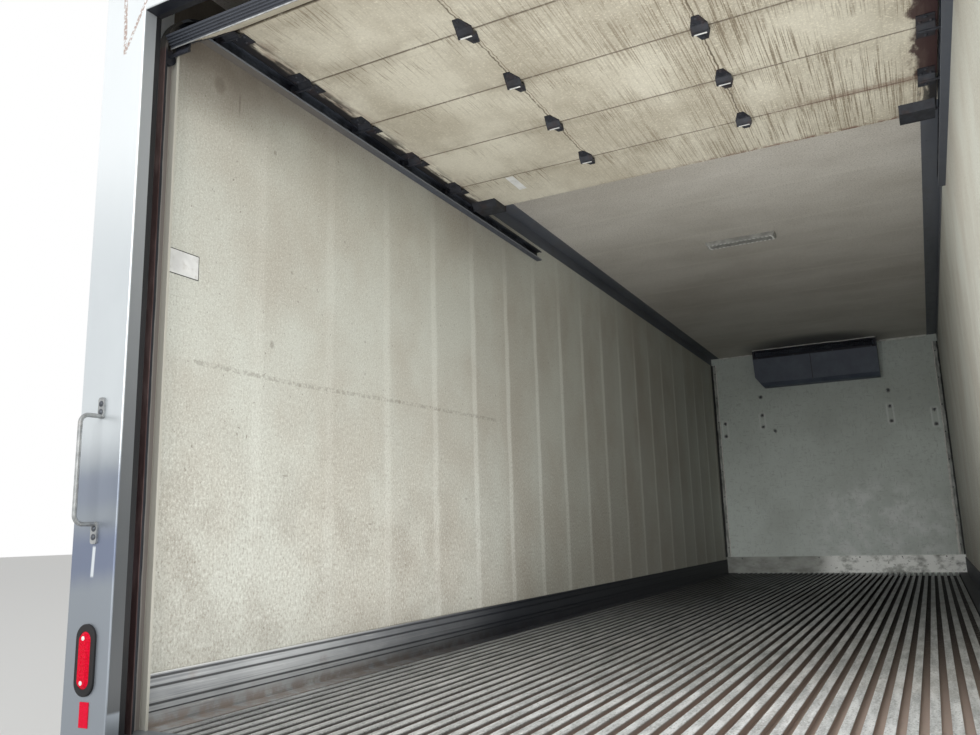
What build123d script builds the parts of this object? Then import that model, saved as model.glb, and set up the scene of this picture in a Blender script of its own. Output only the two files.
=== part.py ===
from math import acos, atan2, cos, degrees, radians, sin
import os

from build123d import *

# Insulated refrigerated truck body, 26 ft class, as it comes off its chassis.
# It stands on its two longitudinal sills. +X is the kerb side, +Y the front, +Z up.
# The origin is on the ground, under the middle of the overall length and width.
# All sizes are in millimetres.

# Body shell
body_width = 2590
inner_length = 7925
inner_height = 2425
side_wall_thickness = 125
front_wall_thickness = 125
roof_thickness = 100
rail_proud = 4
roof_edge_radius = 55
corner_radius = 85
rail_lip = 75

# Floor and underframe
sill_height = 120
sill_width = 75
sill_thickness = 8
sill_spacing = 864
crossmember_height = 100
crossmember_width = 60
crossmember_thickness = 5
crossmember_pitch = 305
floor_core_thickness = 95
deck_base = 5
rib_height = 32
rib_pitch = 52
rib_head = 27
rib_head_thickness = 4
rib_web = 5
gutter_width = 88
bolt_radius = 8.5
bolt_spacing_y = 150
bolt_spacing_z = 56
bolt_group_inset = 700

# Rear frame
frame_depth = 162
post_return = 55
opening_height = 2180
return_depth = 45
seal_width = 22
seal_depth = 24
threshold_drop = 10
bumper_depth = 100
bumper_width = 90
bumper_height = 190
bumper_inset = 260

# Sectional roll-up door, shown open under the ceiling
door_side_gap = 6
door_thickness = 45
bottom_section_height = 250
middle_section_height = 400
middle_sections = 4
top_section_height = 345
section_gap = 2
joint_groove = 3
tongue_radius = 8
pin_offset = 20
open_joint_inset = 220
bottom_rail_height = 28

# Tracks, rollers and hinges of the door
track_height = 60
track_depth = 34
track_lip = 9
track_wall = 3
track_curve = 170
track_axis_below_ceiling = 160
track_run = 2835
roller_width = 14
roller_clearance = 0.3
roller_side_gap = 4
bottom_roller_reach = 30
roller_stem_radius = 5.5
hinge_row = 370
hinge_width = 64
hinge_tip_width = 26
hinge_length = 80
hinge_plate = 3
hinge_barrel_radius = 7
end_hinge_width = 62
end_hinge_inset = 8
carrier_width = 140
carrier_length = 130
carrier_height = 32
stop_gusset_length = 190
stop_plate = 8
stop_gap = 6
lock_width = 180
lock_height = 90
lock_thickness = 8

# Counterbalance over the door
shaft_radius = 12.5
shaft_below_ceiling = 62
shaft_inset = 42
spring_radius = 30
spring_length = 620
drum_radius = 48
drum_width = 40
hanger_thickness = 6
hanger_width = 70
hanger_inset = 50

# Lining
scuff_height = 148
scuff_thickness = 8
scuff_leg = 80
scuff_leg_thickness = 4
scuff_groove = 3
scuff_groove_heights = (42, 60, 108, 135)
kick_height = 173
kick_thickness = 3
corner_trim_width = 46
cove_on_ceiling = 92
cove_on_wall = 80
cove_thickness = 3
light_length = 450
light_width = 110
light_depth = 26
light_from_front = 4115
light_offset = -27

# Evaporator under the ceiling, inside the front wall
evaporator_width = 1260
evaporator_depth = 240
evaporator_lower_depth = 170
evaporator_lip = 40
evaporator_offset = -30
evaporator_corner = (75, 105)
evaporator_height = 405
evaporator_top_gap = 0
outlet_height = 105
outlet_depth = 70
outlet_lip = 24

# Condensing unit on the nose
unit_width = 1930
unit_height = 1000
unit_depth = 600
unit_above_floor = 1250
unit_skin = 12
unit_corner_radius = 80
unit_top_radius = 60
grille_width = 1560
grille_height = 380
grille_sill = 530
grille_frame = 22
slat_pitch = 34
slat_depth = 24
slat_thickness = 3
slat_tilt = 30
fan_spacing = 800
fan_radius = 165
fan_hub_radius = 55
fan_hub_length = 50
fan_blades = 6
fan_setback = 120
fan_shaft_radius = 10
fan_motor_gap = 5
fan_blade_chord = 95
fan_blade_thickness = 4
fan_pitch = 30
shroud_thickness = 20
shroud_margin = 6
shroud_clearance = 7
shaft_clearance = 0.08
motor_radius = 60
motor_length = 80
coil_thickness = 45
hatch_width = 800
hatch_height = 400
hatch_sill = 70
hatch_spacing = 20
hatch_gap = 6
hatch_thickness = 14
hinge_pin_radius = 5
hinge_knuckle_radius = 11
hinge_knuckle_length = 40
hinge_ear_length = 24
pin_clearance = 0.08
ear_gap = 0.6
hinge_outset = 15
hinge_face_gap = 2
hinge_strap = 60
engine_size = (560, 330, 340)

# Lamps and handles
lamp_length = 152
lamp_width = 46
lamp_proud = 14
lamp_gap = 0.3
grommet_length = 192
grommet_width = 76
grommet_proud = 8
lamp_above_floor = 211
marker_length = 62
marker_height = 26
marker_proud = 18
marker_spacing = 200
handle_rod_radius = 6.5
handle_standoff = 70
handle_bend = 26
x_handle = -1200
handle_low = 580
handle_high = 888
lug_length = 62
lug_width = 26
lug_thickness = 6

# Sides of the round parts that repeat, few enough for a light mesh
roller_stem_sides = 6
rod_sides = 12
drum_sides = 24

# Levels, upwards from the ground
z_crossmember = sill_height
z_core = z_crossmember + crossmember_height
z_deck = z_core + floor_core_thickness
z_floor = z_deck + deck_base + rib_height
z_ceiling = z_floor + inner_height
z_roof = z_ceiling + roof_thickness
z_head = z_floor + opening_height

# Stations, from the hatch hinges on the nose back to the dock bumpers
hinge_stand = 2 * hinge_knuckle_radius + hinge_face_gap
shell_length = front_wall_thickness + inner_length + frame_depth
overall_length = hinge_stand + unit_depth + shell_length + bumper_depth
y_nose = overall_length / 2 - hinge_stand
y_front_face = y_nose - unit_depth
y_front = y_front_face - front_wall_thickness
y_lining_end = y_front - inner_length
y_rear = y_lining_end - frame_depth

half_width = body_width / 2
half_inner = half_width - side_wall_thickness
half_opening = half_inner - post_return
half_door = half_inner - track_depth - door_side_gap
door_width = 2 * half_door
inner_width = 2 * half_inner

# Door path
z_track = z_ceiling - track_axis_below_ceiling
y_track = y_lining_end - track_height / 2
track_start = y_track + track_curve
first_joint = y_track + open_joint_inset
joints = [first_joint + i * middle_section_height for i in range(middle_sections + 1)]
y_door_top = joints[-1] + top_section_height
panel_low = pin_offset
panel_high = pin_offset + door_thickness
track_end = track_start + track_run
roller_radius = track_height / 2 - track_wall - roller_clearance

os.makedirs("parts", exist_ok=True)


def save(builder, label):
    """Names a finished piece and writes it."""
    builder.part.label = label
    export_step(builder.part, f"parts/{label}.step")


def across(y):
    """The plane across the body at station y, for a section that runs rearwards."""
    return Plane.XZ.offset(-y)


def along(x):
    """The upright plane along the body at distance x from the middle."""
    return Plane.YZ.offset(x)


def block(x0, x1, y0, y1, z0, z1, mode=Mode.ADD):
    """Adds or cuts a rectangular block between two corners."""
    with Locations(((x0 + x1) / 2, (y0 + y1) / 2, (z0 + z1) / 2)):
        Box(abs(x1 - x0), abs(y1 - y0), abs(z1 - z0), mode=mode)


# Floor: grooved aluminium deck over an insulated core
rib_count = int((inner_width - 2 * gutter_width - rib_head) / rib_pitch) + 1
with BuildPart() as floor_deck:
    with BuildSketch(across(y_front)):
        with Locations((0, z_deck + deck_base / 2)):
            Rectangle(inner_width, deck_base)
        with Locations((0, z_deck + deck_base + rib_height / 2)):
            with GridLocations(rib_pitch, 1, rib_count, 1):
                Rectangle(rib_web, rib_height)
        with Locations((0, z_floor - rib_head_thickness / 2)):
            with GridLocations(rib_pitch, 1, rib_count, 1):
                Rectangle(rib_head, rib_head_thickness)
        gutter_height = rib_height - scuff_leg_thickness
        with Locations((0, z_deck + deck_base + gutter_height / 2)):
            with GridLocations(inner_width - scuff_leg, 1, 2, 1):
                Rectangle(scuff_leg, gutter_height)
    extrude(amount=inner_length)
save(floor_deck, "floor_deck")

with BuildPart() as floor_core:
    block(-half_inner, half_inner, y_lining_end, y_front, z_core, z_deck)
save(floor_core, "floor_core")

# Side, front and roof panels
outer_skin = half_width - rail_proud
for label, side in (("wall_left", -1), ("wall_right", 1)):
    with BuildPart() as wall:
        block(side * half_inner, side * outer_skin, y_lining_end, y_front, z_core, z_ceiling)
    save(wall, label)

with BuildPart() as wall_front:
    block(-half_inner, half_inner, y_front, y_front_face, z_core, z_ceiling)
save(wall_front, "wall_front")

with BuildPart() as roof:
    block(-half_inner, half_inner, y_lining_end, y_front, z_ceiling, z_roof - rail_proud)
save(roof, "roof")

# Roof rails: rounded edge with a lip over the wall and a lip over the roof
with BuildPart() as top_rails:
    with BuildSketch(across(y_front)):
        with BuildLine():
            Polyline(
                (half_inner, z_ceiling),
                (outer_skin, z_ceiling),
                (outer_skin, z_ceiling - rail_lip),
                (half_width, z_ceiling - rail_lip),
                (half_width, z_roof),
                (half_inner - rail_lip, z_roof),
                (half_inner - rail_lip, z_roof - rail_proud),
                (half_inner, z_roof - rail_proud),
                close=True,
            )
        rail_face = make_face()
        fillet(rail_face.vertices().group_by(Axis.X)[-1].sort_by(Axis.Y)[-1], roof_edge_radius)
    extrude(amount=inner_length)
    mirror(about=Plane.YZ)
save(top_rails, "top_rails")

# Base rails: a web with a lip up the wall and a shelf under it
with BuildPart() as bottom_rails:
    with BuildSketch(across(y_front)):
        with BuildLine():
            Polyline(
                (half_width, z_crossmember),
                (half_width, z_core + rail_lip),
                (outer_skin, z_core + rail_lip),
                (outer_skin, z_core),
                (half_inner, z_core),
                (half_inner, z_core - crossmember_thickness),
                (outer_skin - crossmember_thickness, z_core - crossmember_thickness),
                (outer_skin - crossmember_thickness, z_crossmember),
                close=True,
            )
        make_face()
    extrude(amount=inner_length)
    mirror(about=Plane.YZ)
save(bottom_rails, "bottom_rails")

# Front corner posts, rounded outside, with a rounded cap at the roof
with BuildPart() as corner_posts:
    block(half_inner, half_width, y_front, y_front_face, z_crossmember, z_roof)
    upright = corner_posts.edges().filter_by(Axis.Z).group_by(Axis.X)[-1].sort_by(Axis.Y)[-1]
    fillet(upright, corner_radius)
    crown = corner_posts.faces().sort_by(Axis.Z)[-1].edges()
    inside = crown.filter_by(Axis.Y).sort_by(Axis.X)[0]
    behind = crown.filter_by(Axis.X).sort_by(Axis.Y)[0]
    fillet([edge for edge in crown if edge not in (inside, behind)], roof_edge_radius)
    mirror(about=Plane.YZ)
save(corner_posts, "corner_posts")

with BuildPart() as front_top_rail:
    block(-half_inner, half_inner, y_front, y_front_face, z_ceiling, z_roof)
    nose_edge = front_top_rail.edges().filter_by(Axis.X).group_by(Axis.Z)[-1].sort_by(Axis.Y)[-1]
    fillet(nose_edge, roof_edge_radius)
save(front_top_rail, "front_top_rail")

with BuildPart() as front_sill:
    block(-half_inner, half_inner, y_front, y_front_face, z_crossmember, z_core)
    skirt = front_sill.edges().filter_by(Axis.X).group_by(Axis.Z)[0].sort_by(Axis.Y)[-1]
    chamfer(skirt, crossmember_thickness)
save(front_sill, "front_sill")

# Rear frame: formed posts with a pocket for the track, a header and a threshold
return_back = y_rear + return_depth
with BuildPart() as rear_posts:
    with BuildSketch(Plane.XY.offset(z_crossmember)):
        with BuildLine():
            Polyline(
                (half_opening, y_rear),
                (half_width, y_rear),
                (half_width, y_lining_end),
                (half_inner, y_lining_end),
                (half_inner, return_back),
                (half_opening, return_back),
                close=True,
            )
        post_face = make_face()
        fillet(post_face.vertices().group_by(Axis.Y)[0], rail_proud)
    extrude(amount=z_roof - z_crossmember)
    mirror(about=Plane.YZ)
save(rear_posts, "rear_posts")

with BuildPart() as rear_header:
    block(-half_opening, half_opening, y_rear, return_back, z_head, z_roof)
    block(-half_inner, half_inner, return_back, y_lining_end, z_ceiling, z_roof)
    drip = rear_header.edges().filter_by(Axis.X).group_by(Axis.Z)[0].sort_by(Axis.Y)[0]
    fillet(drip, rail_proud)
save(rear_header, "rear_header")

with BuildPart() as rear_sill:
    block(-half_opening, half_opening, y_rear, return_back, z_crossmember, z_floor)
    block(-half_inner, half_inner, return_back, y_lining_end, z_crossmember, z_floor)
    nosing = rear_sill.edges().filter_by(Axis.X).group_by(Axis.Z)[-1].sort_by(Axis.Y)[0]
    chamfer(nosing, threshold_drop)
    sill_skin = sill_thickness + rail_proud
    block(
        sill_skin - half_opening,
        half_opening - sill_skin,
        y_rear + sill_skin,
        y_lining_end,
        z_crossmember,
        z_core,
        Mode.SUBTRACT,
    )
save(rear_sill, "rear_sill")

with BuildPart() as dock_bumpers:
    x_bumper = half_width - bumper_inset
    top_of_bumper = z_crossmember + bumper_height
    block(x_bumper - bumper_width, x_bumper, y_rear - bumper_depth, y_rear, z_crossmember, top_of_bumper)
    buffer_face = dock_bumpers.faces().sort_by(Axis.Y)[0]
    fillet(buffer_face.edges(), bumper_width / 6)
    mirror(about=Plane.YZ)
save(dock_bumpers, "dock_bumpers")

# Rubber seals behind the posts and the header
seal_back = return_back + seal_depth
with BuildPart() as door_seals:
    with BuildSketch(Plane.XY.offset(z_floor)):
        with Locations((half_opening + seal_width / 2, (return_back + seal_back) / 2)):
            Rectangle(seal_width, seal_depth)
    extrude(amount=inner_height)
    lips = door_seals.edges().filter_by(Axis.Z).group_by(Axis.Y)[-1]
    chamfer(lips, seal_width / 4)
    mirror(about=Plane.YZ)
    block(-half_opening, half_opening, return_back, seal_back, z_head, z_head + seal_width)
    head_lips = door_seals.edges().filter_by(Axis.X).group_by(Axis.Y)[-1]
    chamfer(head_lips, seal_width / 4)
save(door_seals, "door_seals")

# Underframe: crossmembers on two channel sills
web_inside = outer_skin - crossmember_thickness
crossmember_count = int((inner_length - crossmember_width) / crossmember_pitch) + 1
y_middle = (y_lining_end + y_front) / 2
flange_offset = (crossmember_height - crossmember_thickness) / 2
with BuildPart() as crossmembers:
    with BuildSketch(along(-web_inside)):
        with Locations((y_middle, z_crossmember + crossmember_height / 2)):
            with GridLocations(crossmember_pitch, 1, crossmember_count, 1):
                Rectangle(crossmember_thickness, crossmember_height)
                with Locations((0, flange_offset), (0, -flange_offset)):
                    Rectangle(crossmember_width, crossmember_thickness)
    extrude(amount=2 * web_inside)
    shelf_low = z_core - crossmember_thickness
    block(half_inner, web_inside, y_lining_end, y_front, shelf_low, z_core, Mode.SUBTRACT)
    block(-web_inside, -half_inner, y_lining_end, y_front, shelf_low, z_core, Mode.SUBTRACT)
save(crossmembers, "crossmembers")

sill_web = sill_spacing / 2 + sill_width / 2
sill_rear = y_rear + return_depth
with BuildPart() as longitudinal_sills:
    with BuildSketch(across(y_front_face)):
        with Locations((sill_spacing / 2, sill_height / 2)):
            Rectangle(sill_width, sill_height)
        with Locations((sill_spacing / 2 - sill_thickness, sill_height / 2)):
            Rectangle(sill_width, sill_height - 2 * sill_thickness, mode=Mode.SUBTRACT)
    extrude(amount=y_front_face - sill_rear)
    bolt_groups = (sill_rear + bolt_group_inset, y_front_face - bolt_group_inset)
    for y_group in bolt_groups:
        with BuildSketch(along(sill_web)):
            with Locations((y_group, sill_height / 2)):
                with GridLocations(bolt_spacing_y, bolt_spacing_z, 2, 2):
                    Circle(bolt_radius)
        extrude(amount=-sill_thickness, mode=Mode.SUBTRACT)
    mirror(about=Plane.YZ)
save(longitudinal_sills, "longitudinal_sills")

# Door tracks: a lipped channel that runs up the post, round a quarter turn and forward
lip_inner = track_height / 2 - track_lip


def track_band(low, high):
    """Draws the strip between two distances from the track's centre line."""
    with BuildLine(mode=Mode.PRIVATE) as strip:
        for reach in (low, high):
            FilletPolyline(
                (y_track - reach, z_floor),
                (y_track - reach, z_track + reach),
                (track_end, z_track + reach),
                radius=track_curve + reach,
            )
        Line((y_track - low, z_floor), (y_track - high, z_floor))
        Line((track_end, z_track + low), (track_end, z_track + high))
    make_face(strip.edges())


edge_reach = track_height / 2
with BuildPart() as door_tracks:
    with BuildSketch(along(half_inner)):
        track_band(-edge_reach, edge_reach)
    extrude(amount=-track_wall)
    with BuildSketch(along(half_inner)):
        track_band(edge_reach - track_wall, edge_reach)
        track_band(-edge_reach, track_wall - edge_reach)
    extrude(amount=-track_depth)
    with BuildSketch(along(half_inner - track_depth)):
        track_band(lip_inner, edge_reach)
        track_band(-edge_reach, -lip_inner)
    extrude(amount=track_wall)
    mirror(about=Plane.YZ)
save(door_tracks, "door_tracks")

# The bottom roller lies in the curve, beyond the section's edge, and sets the section's slope
hanging = bottom_section_height + bottom_roller_reach
to_centre = ((open_joint_inset - track_curve) ** 2 + track_curve**2) ** 0.5
to_centre_angle = degrees(atan2(track_curve, open_joint_inset - track_curve))
swing = (to_centre**2 + hanging**2 - track_curve**2) / (2 * to_centre * hanging)
tilt = to_centre_angle - degrees(acos(swing))
bottom_roller = (
    first_joint - hanging * cos(radians(tilt)),
    z_track - hanging * sin(radians(tilt)),
)
top_roller = (y_door_top - carrier_length / 2, z_track)
middle_of_panel = (panel_low + panel_high) / 2


def door_section(start, height, tongue=True, groove=True):
    """Draws one section's edge view; start and height run along the door from a joint."""
    low = start + section_gap / 2
    high = start + height - section_gap / 2
    Polygon(
        (low + joint_groove, panel_low),
        (high - joint_groove, panel_low),
        (high, panel_low + joint_groove),
        (high, panel_high),
        (low, panel_high),
        (low, panel_low + joint_groove),
        align=None,
    )
    if tongue:
        with Locations((high, middle_of_panel)):
            RegularPolygon(tongue_radius, rod_sides)
    if groove:
        with Locations((low, middle_of_panel)):
            RegularPolygon(tongue_radius + section_gap / 2, rod_sides, mode=Mode.SUBTRACT)


with BuildPart() as door_bottom_section:
    with BuildSketch(along(-half_door)):
        with Locations(Location((first_joint, z_track, 0), (0, 0, tilt))):
            door_section(-bottom_section_height, bottom_section_height, groove=False)
    extrude(amount=door_width)
save(door_bottom_section, "door_bottom_section")

with BuildPart() as door_middle_sections:
    for y_joint in joints[:-1]:
        with BuildSketch(along(-half_door)):
            with Locations((y_joint, z_track)):
                door_section(0, middle_section_height)
        extrude(amount=door_width)
save(door_middle_sections, "door_middle_sections")

with BuildPart() as door_top_section:
    with BuildSketch(along(-half_door)):
        with Locations((joints[-1], z_track)):
            door_section(0, top_section_height, tongue=False)
    extrude(amount=door_width)
save(door_top_section, "door_top_section")

# Bottom rail: an extrusion with ribs under it that holds the floor seal
rail_top = -bottom_section_height + section_gap / 2
rail_low = -bottom_section_height - bottom_rail_height
rib_step = door_thickness / 5
with BuildPart() as door_bottom_rail:
    with BuildSketch(along(-half_door)):
        with Locations(Location((first_joint, z_track, 0), (0, 0, tilt))):
            with Locations(((rail_top + rail_low) / 2, middle_of_panel)):
                Rectangle(rail_top - rail_low, door_thickness)
            with Locations((rail_low, middle_of_panel)):
                with GridLocations(1, rib_step, 1, 4):
                    Rectangle(rib_step, rib_step / 2, mode=Mode.SUBTRACT)
    extrude(amount=door_width)
save(door_bottom_rail, "door_bottom_rail")


def hinge_leaf(direction):
    """Draws a pressed leaf from the pin to the face of a section."""
    flat = direction * pin_offset
    Polygon(
        (direction * hinge_barrel_radius / 3, hinge_barrel_radius * 0.7),
        (flat, pin_offset),
        (direction * hinge_length, pin_offset),
        (direction * hinge_length, pin_offset - hinge_plate),
        (flat + direction * hinge_plate, pin_offset - hinge_plate),
        (direction * hinge_barrel_radius * 0.9, 0),
        align=None,
    )


def hinge_line():
    """Draws the edge view of the hinges at every joint of the door."""
    for y_joint in joints:
        with Locations((y_joint, z_track)):
            hinge_leaf(1)
            RegularPolygon(hinge_barrel_radius, rod_sides)
    for y_joint in joints[1:]:
        with Locations((y_joint, z_track)):
            hinge_leaf(-1)
    with Locations(Location((first_joint, z_track, 0), (0, 0, tilt))):
        hinge_leaf(-1)


with BuildPart() as door_hinges:
    with BuildSketch(along(hinge_row - hinge_width / 2)):
        hinge_line()
    extrude(amount=hinge_width)
    with BuildSketch(Plane.XY.offset(z_track - track_curve)):
        for y_joint in joints:
            with Locations((hinge_row, y_joint)):
                Polygon(
                    (hinge_width / 2, pin_offset),
                    (hinge_tip_width / 2, hinge_length),
                    (-hinge_tip_width / 2, hinge_length),
                    (-hinge_width / 2, pin_offset),
                    (-hinge_width / 2, -pin_offset),
                    (-hinge_tip_width / 2, -hinge_length),
                    (hinge_tip_width / 2, -hinge_length),
                    (hinge_width / 2, -pin_offset),
                    align=None,
                )
    extrude(amount=2 * track_curve, mode=Mode.INTERSECT)
    mirror(about=Plane.YZ)
save(door_hinges, "door_hinges")

end_hinge_outer = half_door - end_hinge_inset
carrier_low = panel_low - carrier_height
with BuildPart() as door_end_hinges:
    with BuildSketch(along(end_hinge_outer - end_hinge_width)):
        hinge_line()
        with Locations(Location((*bottom_roller, 0), (0, 0, tilt))):
            hinge_leaf(1)
            RegularPolygon(hinge_barrel_radius, rod_sides)
    extrude(amount=end_hinge_width)
    with BuildSketch(along(end_hinge_outer - carrier_width)):
        with Locations((y_door_top, z_track)):
            Polygon(
                (0, panel_low),
                (0, carrier_low + joint_groove),
                (-joint_groove, carrier_low),
                (-carrier_length * 0.8, carrier_low),
                (-carrier_length, panel_low),
                align=None,
            )
    extrude(amount=carrier_width)
    mirror(about=Plane.YZ)
save(door_end_hinges, "door_end_hinges")

track_web_inner = half_inner - track_wall
roller_stations = [(y_joint, z_track) for y_joint in joints] + [bottom_roller, top_roller]
with BuildPart() as door_rollers:
    with BuildSketch(along(end_hinge_outer)):
        with Locations(*roller_stations):
            RegularPolygon(roller_stem_radius, roller_stem_sides)
    extrude(amount=track_web_inner - roller_side_gap - end_hinge_outer)
    with BuildSketch(along(track_web_inner - roller_side_gap)):
        with Locations(*roller_stations):
            RegularPolygon(roller_radius, drum_sides)
    extrude(amount=-roller_width)
    mirror(about=Plane.YZ)
save(door_rollers, "door_rollers")

# Slide lock on the outer face of the bottom section
with BuildPart() as door_lock:
    with BuildSketch(along(-lock_width / 2)):
        with Locations(Location((first_joint, z_track, 0), (0, 0, tilt))):
            with Locations((-bottom_section_height / 2, panel_high + lock_thickness / 2)):
                Rectangle(lock_height, lock_thickness)
    extrude(amount=lock_width)
    with BuildSketch(along(-lock_width / 4)):
        with Locations(Location((first_joint, z_track, 0), (0, 0, tilt))):
            with Locations((-bottom_section_height / 2, panel_high + lock_thickness)):
                SlotOverall(lock_height * 0.7, 2 * lock_thickness)
    extrude(amount=lock_width / 2)
save(door_lock, "door_lock")

# Counterbalance: shaft, springs and cable drums, carried by hangers at the header
y_shaft = y_lining_end - shaft_inset
z_shaft = z_ceiling - shaft_below_ceiling
shaft_end = half_inner - track_depth - roller_width
with BuildPart() as counterbalance:
    with BuildSketch(along(-shaft_end)):
        with Locations((y_shaft, z_shaft)):
            RegularPolygon(shaft_radius, drum_sides)
    extrude(amount=2 * shaft_end)
    with BuildSketch(along(shaft_end - drum_width)):
        with Locations((y_shaft, z_shaft)):
            RegularPolygon(drum_radius, drum_sides)
    extrude(amount=drum_width)
    with BuildSketch(along(hanger_thickness)):
        with Locations((y_shaft, z_shaft)):
            RegularPolygon(spring_radius, drum_sides)
    extrude(amount=spring_length)
    mirror(about=Plane.YZ)
save(counterbalance, "counterbalance")

hanger_low = z_shaft - 2 * shaft_radius
x_hanger = shaft_end - drum_width - hanger_inset
with BuildPart() as shaft_hangers:
    for x_face in (-x_hanger, -hanger_thickness / 2, x_hanger - hanger_thickness):
        with BuildSketch(along(x_face)):
            with Locations((y_shaft, (z_ceiling + hanger_low) / 2)):
                Rectangle(hanger_width, z_ceiling - hanger_low)
            with Locations((y_shaft, z_shaft)):
                RegularPolygon(shaft_radius + roller_clearance, drum_sides, mode=Mode.SUBTRACT)
        extrude(amount=hanger_thickness)
save(shaft_hangers, "shaft_hangers")

# Stops for the open door: an angle with a gusset under the ceiling
y_stop = y_door_top + stop_gap
stop_outer = end_hinge_outer
stop_low = z_track + carrier_low + joint_groove
with BuildPart() as door_stops:
    block(stop_outer - carrier_width, stop_outer, y_stop, y_stop + stop_plate, stop_low, z_ceiling)
    stop_front = y_stop + stop_gusset_length
    stop_flange = z_ceiling - cove_thickness
    block(stop_outer - carrier_width, stop_outer, y_stop, stop_front, stop_flange, z_ceiling)
    gusset_reach = (carrier_width - stop_plate) / 2
    for x_gusset in (stop_outer - gusset_reach - stop_plate, stop_outer - stop_plate):
        with BuildSketch(along(x_gusset)):
            with BuildLine():
                Polyline(
                    (y_stop + stop_plate, stop_low),
                    (y_stop + stop_plate, stop_flange),
                    (stop_front, stop_flange),
                    close=True,
                )
            make_face()
        extrude(amount=stop_plate)
    mirror(about=Plane.YZ)
save(door_stops, "door_stops")

# Lining: ribbed scuff bands, kick plate, corner trims and ceiling angles
y_kick = y_front - kick_thickness
with BuildPart() as scuff_liners:
    with BuildSketch(across(y_kick)):
        with BuildLine():
            Polyline(
                (half_inner, z_floor - scuff_leg_thickness),
                (half_inner - scuff_leg, z_floor - scuff_leg_thickness),
                (half_inner - scuff_leg, z_floor),
                (half_inner - scuff_thickness, z_floor),
                (half_inner - scuff_thickness, z_floor + scuff_height),
                (half_inner, z_floor + scuff_height),
                close=True,
            )
        make_face()
        for above_floor in scuff_groove_heights:
            with Locations((half_inner - scuff_thickness, z_floor + above_floor)):
                Rectangle(2 * scuff_groove, scuff_groove, mode=Mode.SUBTRACT)
    extrude(amount=inner_length - kick_thickness)
    mirror(about=Plane.YZ)
save(scuff_liners, "scuff_liners")

with BuildPart() as kick_plate:
    block(-half_inner, half_inner, y_kick, y_front, z_floor, z_floor + kick_height)
save(kick_plate, "kick_plate")

trim_low = z_floor + kick_height
with BuildPart() as corner_trims:
    with BuildSketch(Plane.XY.offset(trim_low)):
        with BuildLine():
            Polyline(
                (half_inner, y_front),
                (half_inner, y_front - corner_trim_width),
                (half_inner - cove_thickness, y_front - corner_trim_width),
                (half_inner - cove_thickness, y_front - cove_thickness),
                (half_inner - corner_trim_width, y_front - cove_thickness),
                (half_inner - corner_trim_width, y_front),
                close=True,
            )
        make_face()
    extrude(amount=z_ceiling - cove_on_wall - trim_low)
    mirror(about=Plane.YZ)
save(corner_trims, "corner_trims")

with BuildPart() as ceiling_angles:
    with BuildSketch(across(y_front)):
        with BuildLine():
            Polyline(
                (half_inner, z_ceiling),
                (half_inner, z_ceiling - cove_on_wall),
                (half_inner - cove_thickness, z_ceiling - cove_on_wall),
                (half_inner - cove_thickness, z_ceiling - cove_thickness),
                (half_inner - cove_on_ceiling, z_ceiling - cove_thickness),
                (half_inner - cove_on_ceiling, z_ceiling),
                close=True,
            )
        make_face()
    extrude(amount=y_front - stop_front)
    mirror(about=Plane.YZ)
save(ceiling_angles, "ceiling_angles")

with BuildPart() as ceiling_light:
    y_light = y_front - light_from_front
    with Locations((light_offset, y_light, z_ceiling - light_depth / 2)):
        Box(light_length, light_width, light_depth)
    lens = ceiling_light.faces().sort_by(Axis.Z)[0]
    chamfer(lens.edges(), light_depth / 3)
save(ceiling_light, "ceiling_light")

# Evaporator: a sloped casing with its air outlet along the top
evaporator_high = z_ceiling - evaporator_top_gap
evaporator_low = evaporator_high - evaporator_height
outlet_low = evaporator_high - outlet_height
y_outlet = y_front - evaporator_depth
with BuildPart() as evaporator:
    with BuildSketch(along(evaporator_offset - evaporator_width / 2)):
        with BuildLine():
            Polyline(
                (y_front, evaporator_high),
                (y_outlet, evaporator_high),
                (y_outlet, outlet_low),
                (y_front - evaporator_lower_depth, evaporator_low + evaporator_lip),
                (y_front - evaporator_lower_depth + evaporator_lip, evaporator_low),
                (y_front, evaporator_low),
                close=True,
            )
        make_face()
    extrude(amount=evaporator_width)
    foot = evaporator.faces().sort_by(Axis.X)[0].edges().sort_by(Axis.Z)[0]
    chamfer(foot, evaporator_corner[0], evaporator_corner[1])
    slot_width = evaporator_width - 2 * outlet_lip
    slot_height = outlet_height - 2 * outlet_lip
    with Locations((evaporator_offset, y_outlet + outlet_depth / 2, evaporator_high - outlet_height / 2)):
        Box(slot_width, outlet_depth, slot_height, mode=Mode.SUBTRACT)
save(evaporator, "evaporator")

# Condensing unit: a moulded shell over the engine, with grille, fans and coil
z_unit = z_floor + unit_above_floor
half_unit = unit_width / 2
z_grille = z_unit + grille_sill + grille_height / 2
z_hatch = z_unit + hatch_sill + hatch_height / 2
x_hatch = hatch_spacing / 2 + hatch_width / 2
with BuildPart() as unit_housing:
    block(-half_unit, half_unit, y_front_face, y_nose, z_unit, z_unit + unit_height)
    fillet(unit_housing.edges().filter_by(Axis.Z).group_by(Axis.Y)[-1], unit_corner_radius)
    roof_of_unit = unit_housing.faces().sort_by(Axis.Z)[-1]
    back_edge = roof_of_unit.edges().sort_by(Axis.Y)[0]
    fillet([edge for edge in roof_of_unit.edges() if edge != back_edge], unit_top_radius)
    offset(amount=-unit_skin, openings=unit_housing.faces().sort_by(Axis.Y)[0])
    with Locations((0, y_nose - unit_skin / 2, z_grille)):
        Box(grille_width, 3 * unit_skin, grille_height, mode=Mode.SUBTRACT)
    with Locations((x_hatch, y_nose, z_hatch), (-x_hatch, y_nose, z_hatch)):
        Box(hatch_width, 3 * unit_skin, hatch_height, mode=Mode.SUBTRACT)
save(unit_housing, "unit_housing")

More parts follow.
